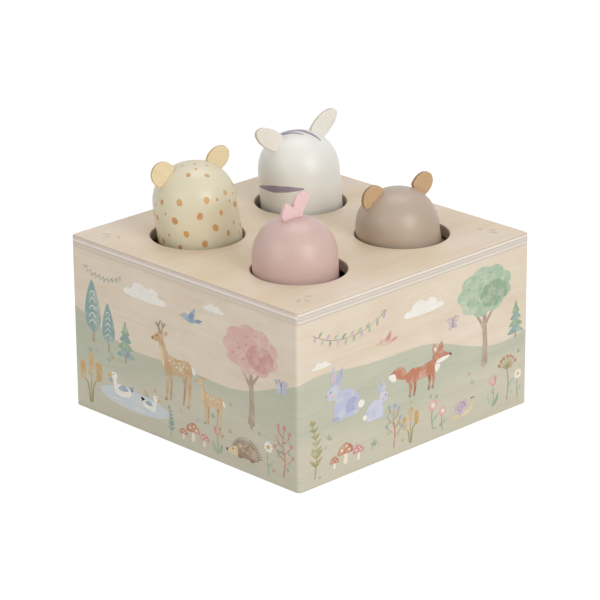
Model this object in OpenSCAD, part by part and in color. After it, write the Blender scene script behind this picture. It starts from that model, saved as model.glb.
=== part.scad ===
// Pop-up animal toy: a square plywood box with four round holes. A turned wooden
// animal stands in each hole on a coil spring, and springs back up when pressed.
// Origin: centre of the box's underside. +Z up, lengths in millimetres.

/* [Box] */
// Width and depth of the box
box_w = 140; // [130:1:160]
// Height of the box, from the underside to the top face
box_h = 79; // [70:1:95]
// Thickness of the top panel
top_t = 5; // [4:0.5:8]
// Thickness of the four walls
wall_t = 5; // [4:0.5:7]
// Thickness of the bottom panel
base_t = 5; // [4:0.5:7]
// Radius of the box's upright edges, seen from above
corner_r = 2; // [0.8:0.2:3.4]
// Side of the square corner blocks
block_w = 12; // [9:0.5:13]

/* [Holes] */
// Distance from a side of the box to the centres of the nearest holes
hole_edge = 38.8; // [37:0.2:40]
// Diameter of the four holes
hole_d = 41; // [36:0.5:44]
// Chamfer of a hole's upper rim
rim_ease = 0.6; // [0.2:0.1:1]

/* [Animals] */
// Room between an animal's side and its hole, all round
body_play = 2.3; // [2:0.1:4]
// Height of an animal's rounded top
dome_h = 18.5; // [15:0.5:20]
// Fullness of the rounded top, where 2 is an ellipse
dome_power = 2.25; // [2:0.05:2.6]
// How far the cheetah stands above the box
cheetah_rise = 32.4; // [28:0.2:36]
// How far the zebra stands above the box
zebra_rise = 32; // [28:0.2:36]
// How far the flamingo stands above the box
flamingo_rise = 22.6; // [19:0.2:26]
// How far the bear stands above the box
bear_rise = 20.2; // [19:0.2:26]

/* [How the animals stand] */
// Compass direction in which the animals lean, from +X towards +Y
lean_heading = 135; // [120:1:150]
// Lean of the cheetah
cheetah_lean = 7.5; // [0:0.5:8]
// Lean of the zebra
zebra_lean = 4; // [0:0.5:8]
// Lean of the flamingo
flamingo_lean = 1.5; // [0:0.5:8]
// Lean of the bear
bear_lean = 7.5; // [0:0.5:8]
// How far the cheetah stands off its hole's centre, along its lean
cheetah_shift = -0.9; // [-1.2:0.1:1.2]
// How far the zebra stands off its hole's centre, along its lean
zebra_shift = -0.3; // [-1.2:0.1:1.2]
// How far the flamingo stands off its hole's centre, along its lean
flamingo_shift = 1.5; // [-1.6:0.1:1.6]
// How far the bear stands off its hole's centre, along its lean
bear_shift = 1.7; // [-1.8:0.1:1.8]
// Turn of the cheetah about its own axis
cheetah_turn = -13; // [-30:1:30]
// Turn of the zebra about its own axis
zebra_turn = -2; // [-30:1:30]
// Turn of the flamingo about its own axis
flamingo_turn = -10; // [-30:1:30]
// Turn of the bear about its own axis
bear_turn = -11; // [-30:1:30]

/* [Felt ears and crest] */
// Thickness of the felt
felt_t = 2; // [1.5:0.1:3]
// How deep an ear or the crest sits in its slot
felt_seat = 4; // [3:0.5:6]
// Distance from an animal's axis to the middle of an ear's foot
ear_reach = 11.2; // [9:0.2:13]
// Width of a round ear's foot
round_ear_foot = 8.4; // [7:0.2:9]
// Widest part of a round ear
round_ear_w = 10.4; // [9.2:0.2:12]
// How far a round ear stands out of the dome
round_ear_len = 8.2; // [7:0.2:11]
// Angle of a round ear from upright
round_ear_splay = 42; // [30:1:60]
// Width of a pointed ear's foot
leaf_ear_foot = 7; // [5:0.2:7.8]
// Widest part of a pointed ear
leaf_ear_w = 8.6; // [8:0.2:12]
// How far a pointed ear stands out of the dome
leaf_ear_len = 15.4; // [13:0.2:19]
// Angle of a pointed ear from upright
leaf_ear_splay = 57; // [45:1:65]
// Height of the crest's tall lobe above the dome
crest_h = 10.6; // [8:0.2:13]
// Width of the crest's foot
crest_w = 10.4; // [9:0.2:13]

/* [Springs] */
// Diameter of a spring at the middle of its wire
coil_d = 22; // [18:0.5:24]
// Diameter of the spring wire
wire_d = 1.4; // [1:0.1:1.8]
// Number of open turns
open_turns = 7; // [5:1:9]

/* [Discs, plugs and screws] */
// How far a retaining disc reaches past the edge of its hole
disc_lip = 3; // [2:0.5:4]
// Thickness of a retaining disc
disc_t = 4; // [3:0.5:5]
// Play between a retaining disc and the top panel, along the animal's axis
disc_drop = 4.6; // [4:0.1:6]
// Height of the plugs inside the ends of a spring
plug_h = 6; // [5:0.5:8]
// Wood left over the point of a screw that holds a foot plug
screw_cover = 1; // [0.8:0.1:1.5]
// Diameter of a screw's shank
shank_d = 3; // [2.5:0.5:3.5]
// Diameter of a screw's head
head_d = 6; // [5:0.5:7]
// Length of the screws that hold the discs and the bottom panel
screw_len = 16; // [14:1:18]

/* [Hidden] */

// Colours of the paints and materials
ply_colour = "#DCC8AC";
wall_colour = "#D3C9B2";
beech_colour = "#D9B98C";
steel_colour = "#A9ABAE";
cheetah_paint = "#DCD5B5";
zebra_paint = "#DEDBD2";
flamingo_paint = "#CBABA0";
bear_paint = "#B8A594";
cheetah_felt = "#E6D2A2";
zebra_felt = "#E8E2D2";
flamingo_felt = "#EDC5C5";
bear_felt = "#C7A478";

// Clearances
screw_play = 0.1;   // around a screw, in every piece it passes
spring_play = 0.25; // between a spring and the disc over it or the bottom panel under it
plug_play = 0.6;    // between a plug and the wire that turns round it
felt_play = 0.05;   // on each side of the felt in its slot
cut = 1;            // how far a cut runs past the face it opens

// Derived sizes
hole_at = box_w / 2 - hole_edge;
body_r = hole_d / 2 - body_play;
disc_r = hole_d / 2 + disc_lip;
wall_h = box_h - top_t;
block_at = box_w / 2 - wall_t - block_w / 2;
plug_r = (coil_d - wire_d) / 2 - plug_play;
plug_bevel = 1;
head_h = (head_d - shank_d) / 2;
head_sink = 0.3;                       // depth of a screw's head under the wood's face
body_foot = top_t + disc_drop;         // depth of a body's foot under the top face
disc_foot = body_foot + disc_t;        // depth of a disc's underside
plug_foot = disc_foot + plug_h;        // depth of a top plug's underside
foot_screw_len = base_t + plug_h - screw_cover;

// Each animal: column and row of its hole, lean, shift, turn and rise
CHEETAH = [-1, 1, cheetah_lean, cheetah_shift, cheetah_turn, cheetah_rise];
ZEBRA = [1, 1, zebra_lean, zebra_shift, zebra_turn, zebra_rise];
FLAMINGO = [-1, -1, flamingo_lean, flamingo_shift, flamingo_turn, flamingo_rise];
BEAR = [1, -1, bear_lean, bear_shift, bear_turn, bear_rise];

// ---- Placing ----

// To an animal's own frame: its axis is Z, and the box's top face is at zero
module stand(a) {
  translate([a[0] * hole_at, a[1] * hole_at, box_h])
    rotate([0, 0, lean_heading])
      translate([a[3], 0, 0])
        rotate([0, a[2], 0])
          rotate([0, 0, a[4] - lean_heading])
            children();
}

module at_holes() {
  for (x = [-1, 1], y = [-1, 1])
    translate([x * hole_at, y * hole_at, 0])
      children();
}

module at_blocks() {
  for (x = [-1, 1], y = [-1, 1])
    translate([x * block_at, y * block_at, 0])
      children();
}

// ---- Screws ----

// A countersunk wood screw, head down at zero, point up
module screw(len, grow = 0) {
  r = shank_d / 2 + grow;
  point_h = shank_d;
  point_r = shank_d / 8 + grow;
  cylinder(h = head_h, r1 = head_d / 2 + grow, r2 = r, $fn = 48);
  cylinder(h = len - point_h, r = r, $fn = 48);
  translate([0, 0, len - point_h])
    cylinder(h = point_h, r1 = r, r2 = point_r, $fn = 48);
}

// The cross slot of a screw's head
module cross_slot() {
  slot_l = head_d * 0.55;
  slot_w = head_d * 0.15;
  depth = head_h / 2;
  for (turn = [0, 90])
    rotate([0, 0, turn])
      translate([-slot_l / 2, -slot_w / 2, -cut])
        cube([slot_l, slot_w, depth + cut]);
}

module slotted_screw(len) {
  color(steel_colour)
    difference() {
      screw(len);
      cross_slot();
    }
}

// The room that a screw takes up, and the way to its head
module screw_room(len) {
  screw(len + screw_play, screw_play);
  translate([0, 0, -cut - head_sink])
    cylinder(h = cut + head_sink, r = head_d / 2 + screw_play, $fn = 48);
}

// ---- Box ----

// A board the size of the box, with rounded upright edges
module box_slab(h) {
  inner = box_w - 2 * corner_r;
  translate([-inner / 2, -box_w / 2, 0])
    cube([inner, box_w, h]);
  translate([-box_w / 2, -inner / 2, 0])
    cube([box_w, inner, h]);
  for (x = [-1, 1], y = [-1, 1])
    translate([x * inner / 2, y * inner / 2, 0])
      cylinder(h = h, r = corner_r, $fn = 48);
}

module top_panel() {
  color(ply_colour)
    translate([0, 0, wall_h])
      difference() {
        box_slab(top_t);
        at_holes() {
          translate([0, 0, -cut])
            cylinder(h = top_t + 2 * cut, d = hole_d, $fn = 128);
          translate([0, 0, top_t - rim_ease])
            cylinder(h = rim_ease + cut, r1 = hole_d / 2, r2 = hole_d / 2 + rim_ease + cut, $fn = 128);
        }
      }
}

module bottom_panel() {
  w = box_w - 2 * wall_t;
  color(ply_colour)
    difference() {
      translate([-w / 2, -w / 2, 0])
        cube([w, w, base_t]);
      translate([0, 0, head_sink]) {
        at_holes() screw_room(foot_screw_len);
        at_blocks() screw_room(screw_len);
      }
    }
}

// Walls that run the box's whole width, on the side of the sign of y
module long_wall(side) {
  color(wall_colour)
    intersection() {
      box_slab(wall_h);
      translate([-box_w / 2, side * (box_w - wall_t) / 2 - wall_t / 2, 0])
        cube([box_w, wall_t, wall_h]);
    }
}

// Walls that fit between the long ones, on the side of the sign of x
module short_wall(side) {
  w = box_w - 2 * wall_t;
  color(wall_colour)
    translate([side * (box_w - wall_t) / 2 - wall_t / 2, -w / 2, 0])
      cube([wall_t, w, wall_h]);
}

module corner_block(x, y) {
  color(beech_colour)
    difference() {
      translate([x * block_at - block_w / 2, y * block_at - block_w / 2, base_t])
        cube([block_w, block_w, wall_h - base_t]);
      translate([x * block_at, y * block_at, head_sink])
        screw_room(screw_len);
    }
}

module base_screws() {
  translate([0, 0, head_sink])
    at_blocks() slotted_screw(screw_len);
}

module foot_screws() {
  translate([0, 0, head_sink])
    at_holes() slotted_screw(foot_screw_len);
}

// ---- Springs and what holds them ----

// A turned plug with a bevelled end, standing on zero
module plug() {
  cylinder(h = plug_h - plug_bevel, r = plug_r, $fn = 72);
  translate([0, 0, plug_h - plug_bevel])
    cylinder(h = plug_bevel, r1 = plug_r, r2 = plug_r - plug_bevel, $fn = 72);
}

module foot_plug(a) {
  color(beech_colour)
    difference() {
      translate([a[0] * hole_at, a[1] * hole_at, base_t])
        plug();
      translate([a[0] * hole_at, a[1] * hole_at, head_sink])
        screw_room(foot_screw_len);
    }
}

module top_plug(a) {
  color(beech_colour)
    stand(a)
      difference() {
        translate([0, 0, -disc_foot])
          mirror([0, 0, 1])
            plug();
        translate([0, 0, -plug_foot + head_sink])
          screw_room(screw_len);
      }
}

module retaining_disc(a) {
  color(beech_colour)
    stand(a)
      difference() {
        translate([0, 0, -disc_foot])
          cylinder(h = disc_t, r = disc_r, $fn = 96);
        translate([0, 0, -plug_foot + head_sink])
          screw_room(screw_len);
      }
}

module disc_screw(a) {
  stand(a)
    translate([0, 0, -plug_foot + head_sink])
      slotted_screw(screw_len);
}

// The wire is swept along points: it starts and ends in a closed turn, and the turns
// follow a centre line that rises square from the foot plug and bends to the animal's axis.
rings_per_turn = 12;
wire_sides = 6;
turns = open_turns + 2;
closed_gap = 0.8; // between the wire and the next turn, in the end turns
closed_pitch = wire_d + closed_gap;
ring_count = turns * rings_per_turn;
seat_lift = wire_d / 2 + spring_play;

function unit(v) = v / norm(v);

// Top end of a spring's centre line: distance along the lean, and height
function spring_top(a) =
  let (depth = disc_foot + seat_lift)
  [a[3] - depth * sin(a[2]), box_h - depth * cos(a[2])];

// Point on the centre line at the share t of its height
function spring_mid(a, t) =
  let (top = spring_top(a), low = base_t + seat_lift, rise = top[1] - low,
       blend = 3 * t * t - 2 * t * t * t, end = t * t * t - t * t)
  [top[0] * blend + rise * tan(a[2]) * end, low + rise * t];

// Share of the height that the wire has reached after n turns
function coil_share(a, n) =
  let (rise = spring_top(a)[1] - base_t - seat_lift,
       open_pitch = (rise - 2 * closed_pitch) / open_turns)
  (closed_pitch * min(n, 1) + open_pitch * max(min(n - 1, open_turns), 0)
   + closed_pitch * max(n - 1 - open_turns, 0)) / rise;

// Middle of the wire after n turns, in the frame of the lean
function wire_mid(a, n) =
  let (t = coil_share(a, n), m = spring_mid(a, t), step = 0.01,
       up = unit(spring_mid(a, t + step) - spring_mid(a, t - step)),
       x = cos(360 * n) * coil_d / 2, y = sin(360 * n) * coil_d / 2)
  [m[0] + x * up[1], y, m[1] - x * up[0]];

function wire_ring(a, i) =
  let (n = i / rings_per_turn, p = wire_mid(a, n), small = 0.02,
       along = unit(wire_mid(a, n + small) - wire_mid(a, n - small)),
       m = spring_mid(a, coil_share(a, n)),
       out = unit(p - [m[0], 0, m[1]]),
       side = unit(cross(along, out)),
       flat = cross(side, along))
  [for (k = [0:wire_sides - 1])
    let (turn = 360 * k / wire_sides)
    p + wire_d / 2 * (cos(turn) * flat + sin(turn) * side)];

module spring(a) {
  points = [for (i = [0:ring_count]) each wire_ring(a, i)];
  last = ring_count * wire_sides;
  sides = [for (i = [0:ring_count - 1], k = [0:wire_sides - 1])
    let (next = (k + 1) % wire_sides, low = i * wire_sides, high = low + wire_sides)
    each [[low + k, high + next, low + next], [low + k, high + k, high + next]]];
  start_cap = [for (k = [1:wire_sides - 2]) [0, k, k + 1]];
  end_cap = [for (k = [1:wire_sides - 2]) [last, last + k + 1, last + k]];
  color(steel_colour)
    translate([a[0] * hole_at, a[1] * hole_at, 0])
      rotate([0, 0, lean_heading])
        polyhedron(points = points, faces = concat(sides, start_cap, end_cap), convexity = 10);
}

// Least gap between one turn of a spring and the next, measured on the points of the wire
function turn_gap(a) =
  min([for (i = [0:ring_count - rings_per_turn])
    norm(wire_mid(a, i / rings_per_turn + 1) - wire_mid(a, i / rings_per_turn)) - wire_d]);

echo(least_gap_in_springs = min([for (a = [CHEETAH, ZEBRA, FLAMINGO, BEAR]) turn_gap(a)]));

// ---- Animals ----

// Height of the dome's surface over the dome's foot, at a distance from the axis
function dome_z(x) = dome_h * pow(1 - pow(min(abs(x) / body_r, 1), dome_power), 1 / dome_power);

module turned_body(rise) {
  steps = 24;
  foot_bevel = 0.8;
  dome = [for (i = [0:steps])
    let (turn = 90 * i / steps)
    [body_r * pow(cos(turn), 2 / dome_power), rise - dome_h + dome_h * pow(sin(turn), 2 / dome_power)]];
  rotate_extrude($fn = 128)
    polygon(concat([[0, -body_foot], [body_r - foot_bevel, -body_foot], [body_r, -body_foot + foot_bevel]],
                   [for (p = dome) [max(p[0], 0), p[1]]]));
}

// An ear's outline: its foot is at zero, with a tongue under it that fills the slot.
// The blade is an oval whose middle is as high as the foot's width asks.
module ear_outline(foot, wide, len) {
  steps = 40;
  side = acos(foot / wide);
  // the oval is cut by the foot at the angle -side
  half_len = len / (1 + sin(side));
  blade = [for (i = [0:steps])
    let (turn = -side + (180 + 2 * side) * i / steps)
    [wide / 2 * cos(turn), half_len * (sin(turn) + sin(side))]];
  polygon(concat([[-foot / 2, -felt_seat], [foot / 2, -felt_seat]], blade));
}

// Places a felt piece's plane upright through the axis: X outwards, Y up
module felt_plane(grow) {
  rotate([90, 0, 0])
    translate([0, 0, -felt_t / 2 - grow])
      linear_extrude(height = felt_t + 2 * grow)
        children();
}

module round_ear(rise, side, grow = 0) {
  foot_z = rise - dome_h + dome_z(ear_reach);
  felt_plane(grow)
    translate([side * ear_reach, foot_z])
      rotate(-side * round_ear_splay)
        ear_outline(round_ear_foot, round_ear_w, round_ear_len);
}

module leaf_ear(rise, side, grow = 0) {
  foot_z = rise - dome_h + dome_z(ear_reach);
  felt_plane(grow)
    translate([side * ear_reach, foot_z])
      rotate(-side * leaf_ear_splay)
        ear_outline(leaf_ear_foot, leaf_ear_w, leaf_ear_len);
}

// A leaf-shaped lobe of the crest, its foot at the origin
module lobe(len, wide) {
  steps = 32;
  polygon([for (i = [0:steps - 1])
    let (turn = 360 * i / steps)
    [wide / 2 * cos(turn), len / 2 * (1 + sin(turn))]]);
}

module crest(rise, grow = 0) {
  low = rise - felt_seat;
  overlap = 1.5;
  felt_plane(grow) {
    translate([-crest_w / 2, low])
      square([crest_w, felt_seat + overlap]);
    translate([-crest_w * 0.22, rise])
      rotate(10)
        lobe(crest_h * 0.75, crest_w * 0.45);
    translate([crest_w * 0.2, rise])
      rotate(-26)
        lobe(crest_h * 1.08, crest_w * 0.56);
  }
}

module body_screw_room() {
  translate([0, 0, -plug_foot + head_sink])
    screw_room(screw_len);
}

module cheetah_body() {
  color(cheetah_paint)
    stand(CHEETAH)
      difference() {
        turned_body(cheetah_rise);
        body_screw_room();
        for (side = [-1, 1])
          round_ear(cheetah_rise, side, felt_play);
      }
}

module zebra_body() {
  color(zebra_paint)
    stand(ZEBRA)
      difference() {
        turned_body(zebra_rise);
        body_screw_room();
        for (side = [-1, 1])
          leaf_ear(zebra_rise, side, felt_play);
      }
}

module flamingo_body() {
  color(flamingo_paint)
    stand(FLAMINGO)
      difference() {
        turned_body(flamingo_rise);
        body_screw_room();
        crest(flamingo_rise, felt_play);
      }
}

module bear_body() {
  color(bear_paint)
    stand(BEAR)
      difference() {
        turned_body(bear_rise);
        body_screw_room();
        for (side = [-1, 1])
          round_ear(bear_rise, side, felt_play);
      }
}

module cheetah_ear(side) {
  color(cheetah_felt)
    stand(CHEETAH)
      round_ear(cheetah_rise, side);
}

module zebra_ear(side) {
  color(zebra_felt)
    stand(ZEBRA)
      leaf_ear(zebra_rise, side);
}

module bear_ear(side) {
  color(bear_felt)
    stand(BEAR)
      round_ear(bear_rise, side);
}

module flamingo_crest() {
  color(flamingo_felt)
    stand(FLAMINGO)
      crest(flamingo_rise);
}

// ---- Nodes ----

top_panel();
bottom_panel();
long_wall(-1);  // front_panel
long_wall(1);  // back_panel
short_wall(-1);  // left_panel
short_wall(1);  // right_panel
corner_block(-1, -1);  // corner_block_front_left
corner_block(1, -1);  // corner_block_front_right
corner_block(-1, 1);  // corner_block_back_left
corner_block(1, 1);  // corner_block_back_right
base_screws();
foot_screws();
foot_plug(CHEETAH);  // cheetah_foot_plug
foot_plug(ZEBRA);  // zebra_foot_plug
foot_plug(FLAMINGO);  // flamingo_foot_plug
foot_plug(BEAR);  // bear_foot_plug
spring(CHEETAH);  // cheetah_spring
spring(ZEBRA);  // zebra_spring
spring(FLAMINGO);  // flamingo_spring
spring(BEAR);  // bear_spring
cheetah_body();
cheetah_ear(-1);  // cheetah_left_ear
cheetah_ear(1);  // cheetah_right_ear
retaining_disc(CHEETAH);  // cheetah_retaining_disc
top_plug(CHEETAH);  // cheetah_top_plug
disc_screw(CHEETAH);  // cheetah_disc_screw
zebra_body();
zebra_ear(-1);  // zebra_left_ear
zebra_ear(1);  // zebra_right_ear
retaining_disc(ZEBRA);  // zebra_retaining_disc
top_plug(ZEBRA);  // zebra_top_plug
disc_screw(ZEBRA);  // zebra_disc_screw
flamingo_body();
flamingo_crest();
retaining_disc(FLAMINGO);  // flamingo_retaining_disc
top_plug(FLAMINGO);  // flamingo_top_plug
disc_screw(FLAMINGO);  // flamingo_disc_screw
bear_body();
bear_ear(-1);  // bear_left_ear
bear_ear(1);  // bear_right_ear
retaining_disc(BEAR);  // bear_retaining_disc
top_plug(BEAR);  // bear_top_plug
disc_screw(BEAR);  // bear_disc_screw
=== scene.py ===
"""Looks of the pop-up animal toy: a printed plywood box and four turned animals on springs.

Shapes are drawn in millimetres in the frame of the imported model, and made metres at the end.
"""
import math
import random

import bmesh
import bpy
from mathutils import Matrix, Vector, noise


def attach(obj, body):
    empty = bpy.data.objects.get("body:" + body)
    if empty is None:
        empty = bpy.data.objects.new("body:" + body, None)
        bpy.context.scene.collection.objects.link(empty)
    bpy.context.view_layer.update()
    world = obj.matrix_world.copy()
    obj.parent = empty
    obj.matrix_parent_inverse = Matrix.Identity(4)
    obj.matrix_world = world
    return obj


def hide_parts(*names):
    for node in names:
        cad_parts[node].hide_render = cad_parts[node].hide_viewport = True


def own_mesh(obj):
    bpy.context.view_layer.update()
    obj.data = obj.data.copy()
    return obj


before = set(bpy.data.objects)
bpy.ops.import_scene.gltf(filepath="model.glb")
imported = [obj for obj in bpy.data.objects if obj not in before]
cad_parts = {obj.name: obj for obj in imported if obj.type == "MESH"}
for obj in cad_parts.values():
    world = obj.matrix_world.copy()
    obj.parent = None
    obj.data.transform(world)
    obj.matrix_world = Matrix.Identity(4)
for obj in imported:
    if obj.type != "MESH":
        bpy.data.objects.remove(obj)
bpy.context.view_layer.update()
scene = bpy.context.scene

# ---- Sizes, in millimetres ----

MM = 0.001
BOX_W = 140.0
BOX_H = 79.0
TOP_T = 5.0
BASE_T = 5.0
WALL_H = BOX_H - TOP_T
CORNER_R = 2.0
TOP_EASE = 0.7
JOINT_EASE = 0.15
HOLE_AT = 31.2
HOLE_R = 20.5
RIM_EASE = 0.6
BODY_R = 18.2
BODY_FOOT = 9.6
FOOT_EASE = 0.8
DOME_H = 18.5
DOME_POWER = 2.25
DISC_FOOT = 13.6
FELT_T = 2.0
FELT_SEAT = 4.0
COIL_R = 11.0
WIRE_R = 0.7
WIRE_PLAY = 0.25
OPEN_TURNS = 7
CLOSED_PITCH = 2.2
LEAN_HEADING = 135.0
TALL_PRESS = 24.0
SHORT_PRESS = 18.0

# Column and row of each animal's hole, its lean, shift and turn as in the solids, its height and its travel
ANIMALS = {
    name: {"hole": hole, "lean": lean, "shift": shift, "turn": turn, "rise": rise, "press": press}
    for name, hole, lean, shift, turn, rise, press in (
        ("cheetah", (-1, 1), 7.5, -0.9, -13, 32.4, TALL_PRESS),
        ("zebra", (1, 1), 4.0, -0.3, -2, 32.0, TALL_PRESS),
        ("flamingo", (-1, -1), 1.5, 1.5, -10, 22.6, SHORT_PRESS),
        ("bear", (1, -1), 7.5, 1.7, -11, 20.2, SHORT_PRESS))
}


def turned(angle, axis):
    return Matrix.Rotation(math.radians(angle), 4, axis)


def moved(x, y, z):
    return Matrix.Translation((x, y, z))


def over_hole(animal, height):
    """The middle of an animal's hole at a height, turned so that X points where the animal leans."""
    column, row = animal["hole"]
    return moved(column * HOLE_AT, row * HOLE_AT, height) @ turned(LEAN_HEADING, "Z")


def stand(animal):
    """From an animal's own frame, where the box's top face is at zero, to the toy's."""
    leaned = over_hole(animal, BOX_H) @ moved(animal["shift"], 0, 0) @ turned(animal["lean"], "Y")
    return leaned @ turned(animal["turn"] - LEAN_HEADING, "Z")


# ---- Colours and nodes ----

def linear(hex_colour):
    """An sRGB hex colour as a linear RGBA one."""
    parts = [int(hex_colour[i:i + 2], 16) / 255 for i in (1, 3, 5)]
    return tuple(c / 12.92 if c <= 0.04045 else ((c + 0.055) / 1.055) ** 2.4 for c in parts) + (1.0,)


def add(tree, kind, *inputs, out=None, **settings):
    """Adds a node with its settings, and gives its first output in use or the one that is named.

    The inputs in use are fed in their order by sockets, hex colours or values; None leaves one as it is.
    """
    node = tree.nodes.new("ShaderNode" + kind)
    for name, value in settings.items():
        setattr(node, name, value)
    for socket, value in zip([socket for socket in node.inputs if socket.enabled], inputs):
        if isinstance(value, bpy.types.NodeSocket):
            tree.links.new(value, socket)
        elif value is not None:
            socket.default_value = linear(value) if isinstance(value, str) else value
    return node.outputs[out] if out else next((s for s in node.outputs if s.enabled), None)


def material(name):
    """A new material with its tree, its Principled shader and its Object coordinates."""
    made = bpy.data.materials.new(name)
    made.use_nodes = True
    tree = made.node_tree
    return made, tree, tree.nodes["Principled BSDF"], add(tree, "TexCoord", out="Object")


def pattern(tree, place, cell, detail=3.0, roughness=0.5, distortion=0.0):
    """Noise whose cells are so many millimetres long along X, Y and Z."""
    scaled = add(tree, "Mapping", place, None, None, [1 / (length * MM) for length in cell])
    return add(tree, "TexNoise", scaled, 1.0, detail, roughness, None, distortion)


def tinted(tree, colour, *tints):
    """Lays tints over a colour, each up to its share where a pattern's value goes from low to high."""
    for value, low, high, share, tint, *blend in tints:
        cover = add(tree, "MapRange", value, low, high, 0.0, share)
        kind = blend[0] if blend else "MIX"
        colour = add(tree, "Mix", cover, colour, tint, data_type="RGBA", blend_type=kind)
    return colour


# Nearly all of a noise's values lie between these
NOISE_LOW = 0.3
NOISE_HIGH = 0.7


def surface(tree, shader, colour, roughness, height=None, relief=0.0):
    """Feeds a shader its colour, its roughness and the height of its bumps in millimetres.

    The roughness is one number, or a pattern with the least and the most that it gives.
    """
    tree.links.new(colour, shader.inputs["Base Color"])
    if isinstance(roughness, tuple):
        value, smooth, rough = roughness
        ranged = add(tree, "MapRange", value, NOISE_LOW, NOISE_HIGH, smooth, rough)
        tree.links.new(ranged, shader.inputs["Roughness"])
    else:
        shader.inputs["Roughness"].default_value = roughness
    if height:
        tree.links.new(add(tree, "Bump", None, relief * MM, None, height), shader.inputs["Normal"])


# ---- Finishes ----

GRAIN_RELIEF = 0.015


def grain(tree, place, both_ways=False):
    """Birch grain along X, or along X and Y: soft streaks 3.3 mm wide, fibres 0.38 mm wide, and their sum."""
    across = 50 if both_ways else 1
    streaks = pattern(tree, place, (83.3, 3.33 * across, 3.33), 4, 0.6, 0.7)
    fibres = pattern(tree, place, (20, 0.385 * across, 0.385), 2, 0.6, 0.2)
    return streaks, fibres, add(tree, "Math", fibres, streaks, operation="ADD")


def birch_veneer():
    """Birch face veneer under satin lacquer: pale, warm and softly clouded, with a low sheen."""
    made, tree, shader, place = material("lacquered_birch_veneer")
    streaks, fibres, both = grain(tree, place)
    clouds = pattern(tree, place, (50, 25, 25))
    colour = tinted(tree, "#E6D5C1", (clouds, 0.35, 0.65, 1.0, "#E1CCAE"),
                    (streaks, 0.45, 0.72, 0.25, "#D1B692"), (fibres, 0.5, 0.75, 0.12, "#C9AF88"))
    surface(tree, shader, colour, (fibres, 0.42, 0.5), both, GRAIN_RELIEF)
    return made


# Plies of the top panel, each a share of its thickness from below and a colour. A ply that shows its long
# grain on the front and back edges shows its end grain on the other two.
FRONT_PLIES = [(0.0, "#CFC4B6"), (0.07, "#CFC4B6"), (0.11, "#E6DCD0"), (0.28, "#E6DCD0"), (0.32, "#D0C6BA"),
               (0.4, "#D0C6BA"), (0.43, "#DCD2C6"), (0.6, "#DCD2C6"), (0.63, "#CCC1B5"), (0.7, "#CCC1B5"),
               (0.74, "#F3E8DC"), (0.89, "#EDE0D2"), (0.93, "#C9B8A4"), (1.0, "#D2BFA6")]
SIDE_PLIES = [(0.0, "#D5C7B6"), (0.06, "#DDCFBE"), (0.34, "#DDCFBE"), (0.39, "#CFC3B7"), (0.47, "#D6CABF"),
              (0.53, "#F4EAE0"), (0.65, "#F2E7DD"), (0.7, "#E0D1C5"), (0.88, "#DDCCBF"), (0.93, "#C8B4A4"),
              (1.0, "#D8C4AE")]
# The bore's plies are greyer and darker than the outer edges' plies, and darkest towards the bottom. This is
# painted shade of the hole's inside, laid over the plies' own bands.
BORE_PLIES = [(0.0, "#9C8D7F"), (0.2, "#B5A799"), (0.24, "#A49587"), (0.42, "#B8AA9D"), (0.6, "#A99A8C"),
              (0.8, "#BEB1A2"), (1.0, "#C8BDAD")]
# How far the plies' edges waver up and down
PLY_WANDER = 0.2


def birch_edge(name, plies, wear):
    """Cut edge of birch plywood: light long-grain plies, darker end-grain plies and thin glue lines."""
    made, tree, shader, place = material(name)
    waver = pattern(tree, place, (25, 25, 10), 2)
    height = add(tree, "SeparateXYZ", place, out="Z")
    level = add(tree, "Math", waver, PLY_WANDER * MM, height, operation="MULTIPLY_ADD")
    foot, top = ((edge + PLY_WANDER / 2) * MM for edge in (WALL_H, BOX_H))
    layers = add(tree, "ValToRGB", add(tree, "MapRange", level, foot, top))
    stops = layers.node.color_ramp.elements
    for index, (position, colour) in enumerate(plies):
        stop = stops[index] if index < 2 else stops.new(position)
        stop.position = position
        stop.color = linear(colour)
    fibres = pattern(tree, place, (1.67, 1.67, 0.2))
    worn = tinted(tree, layers, (fibres, 0.4, 0.75, wear, "#BBA78F"))
    surface(tree, shader, worn, 0.6, fibres, 0.03)
    return made


# Length of the hills' two waves, and the share of the swell and of the phase that each has
HILL_WAVES = ((202.7, 1.0, 1), (75.7, 0.3, 2))
# Height of the wash's rough edge along the hills
RAGGED = 1.2


def over_hill(tree, place, wash, base, swell, phase):
    """How far a place lies over a rolling hill's ragged edge, which runs in waves along the four walls."""
    parts = add(tree, "SeparateXYZ", place).node.outputs
    run = add(tree, "Math", parts["X"], parts["Y"], operation="SUBTRACT")
    edge = base * MM
    for length, share, shift in HILL_WAVES:
        angle = add(tree, "Math", run, math.tau / (length * MM), phase * shift, operation="MULTIPLY_ADD")
        wave = add(tree, "Math", angle, operation="SINE")
        edge = add(tree, "Math", wave, swell * share * MM, edge, operation="MULTIPLY_ADD")
    ragged = add(tree, "Math", wash, RAGGED * MM, parts["Z"], operation="MULTIPLY_ADD")
    return add(tree, "Math", ragged, edge, operation="SUBTRACT")


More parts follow.
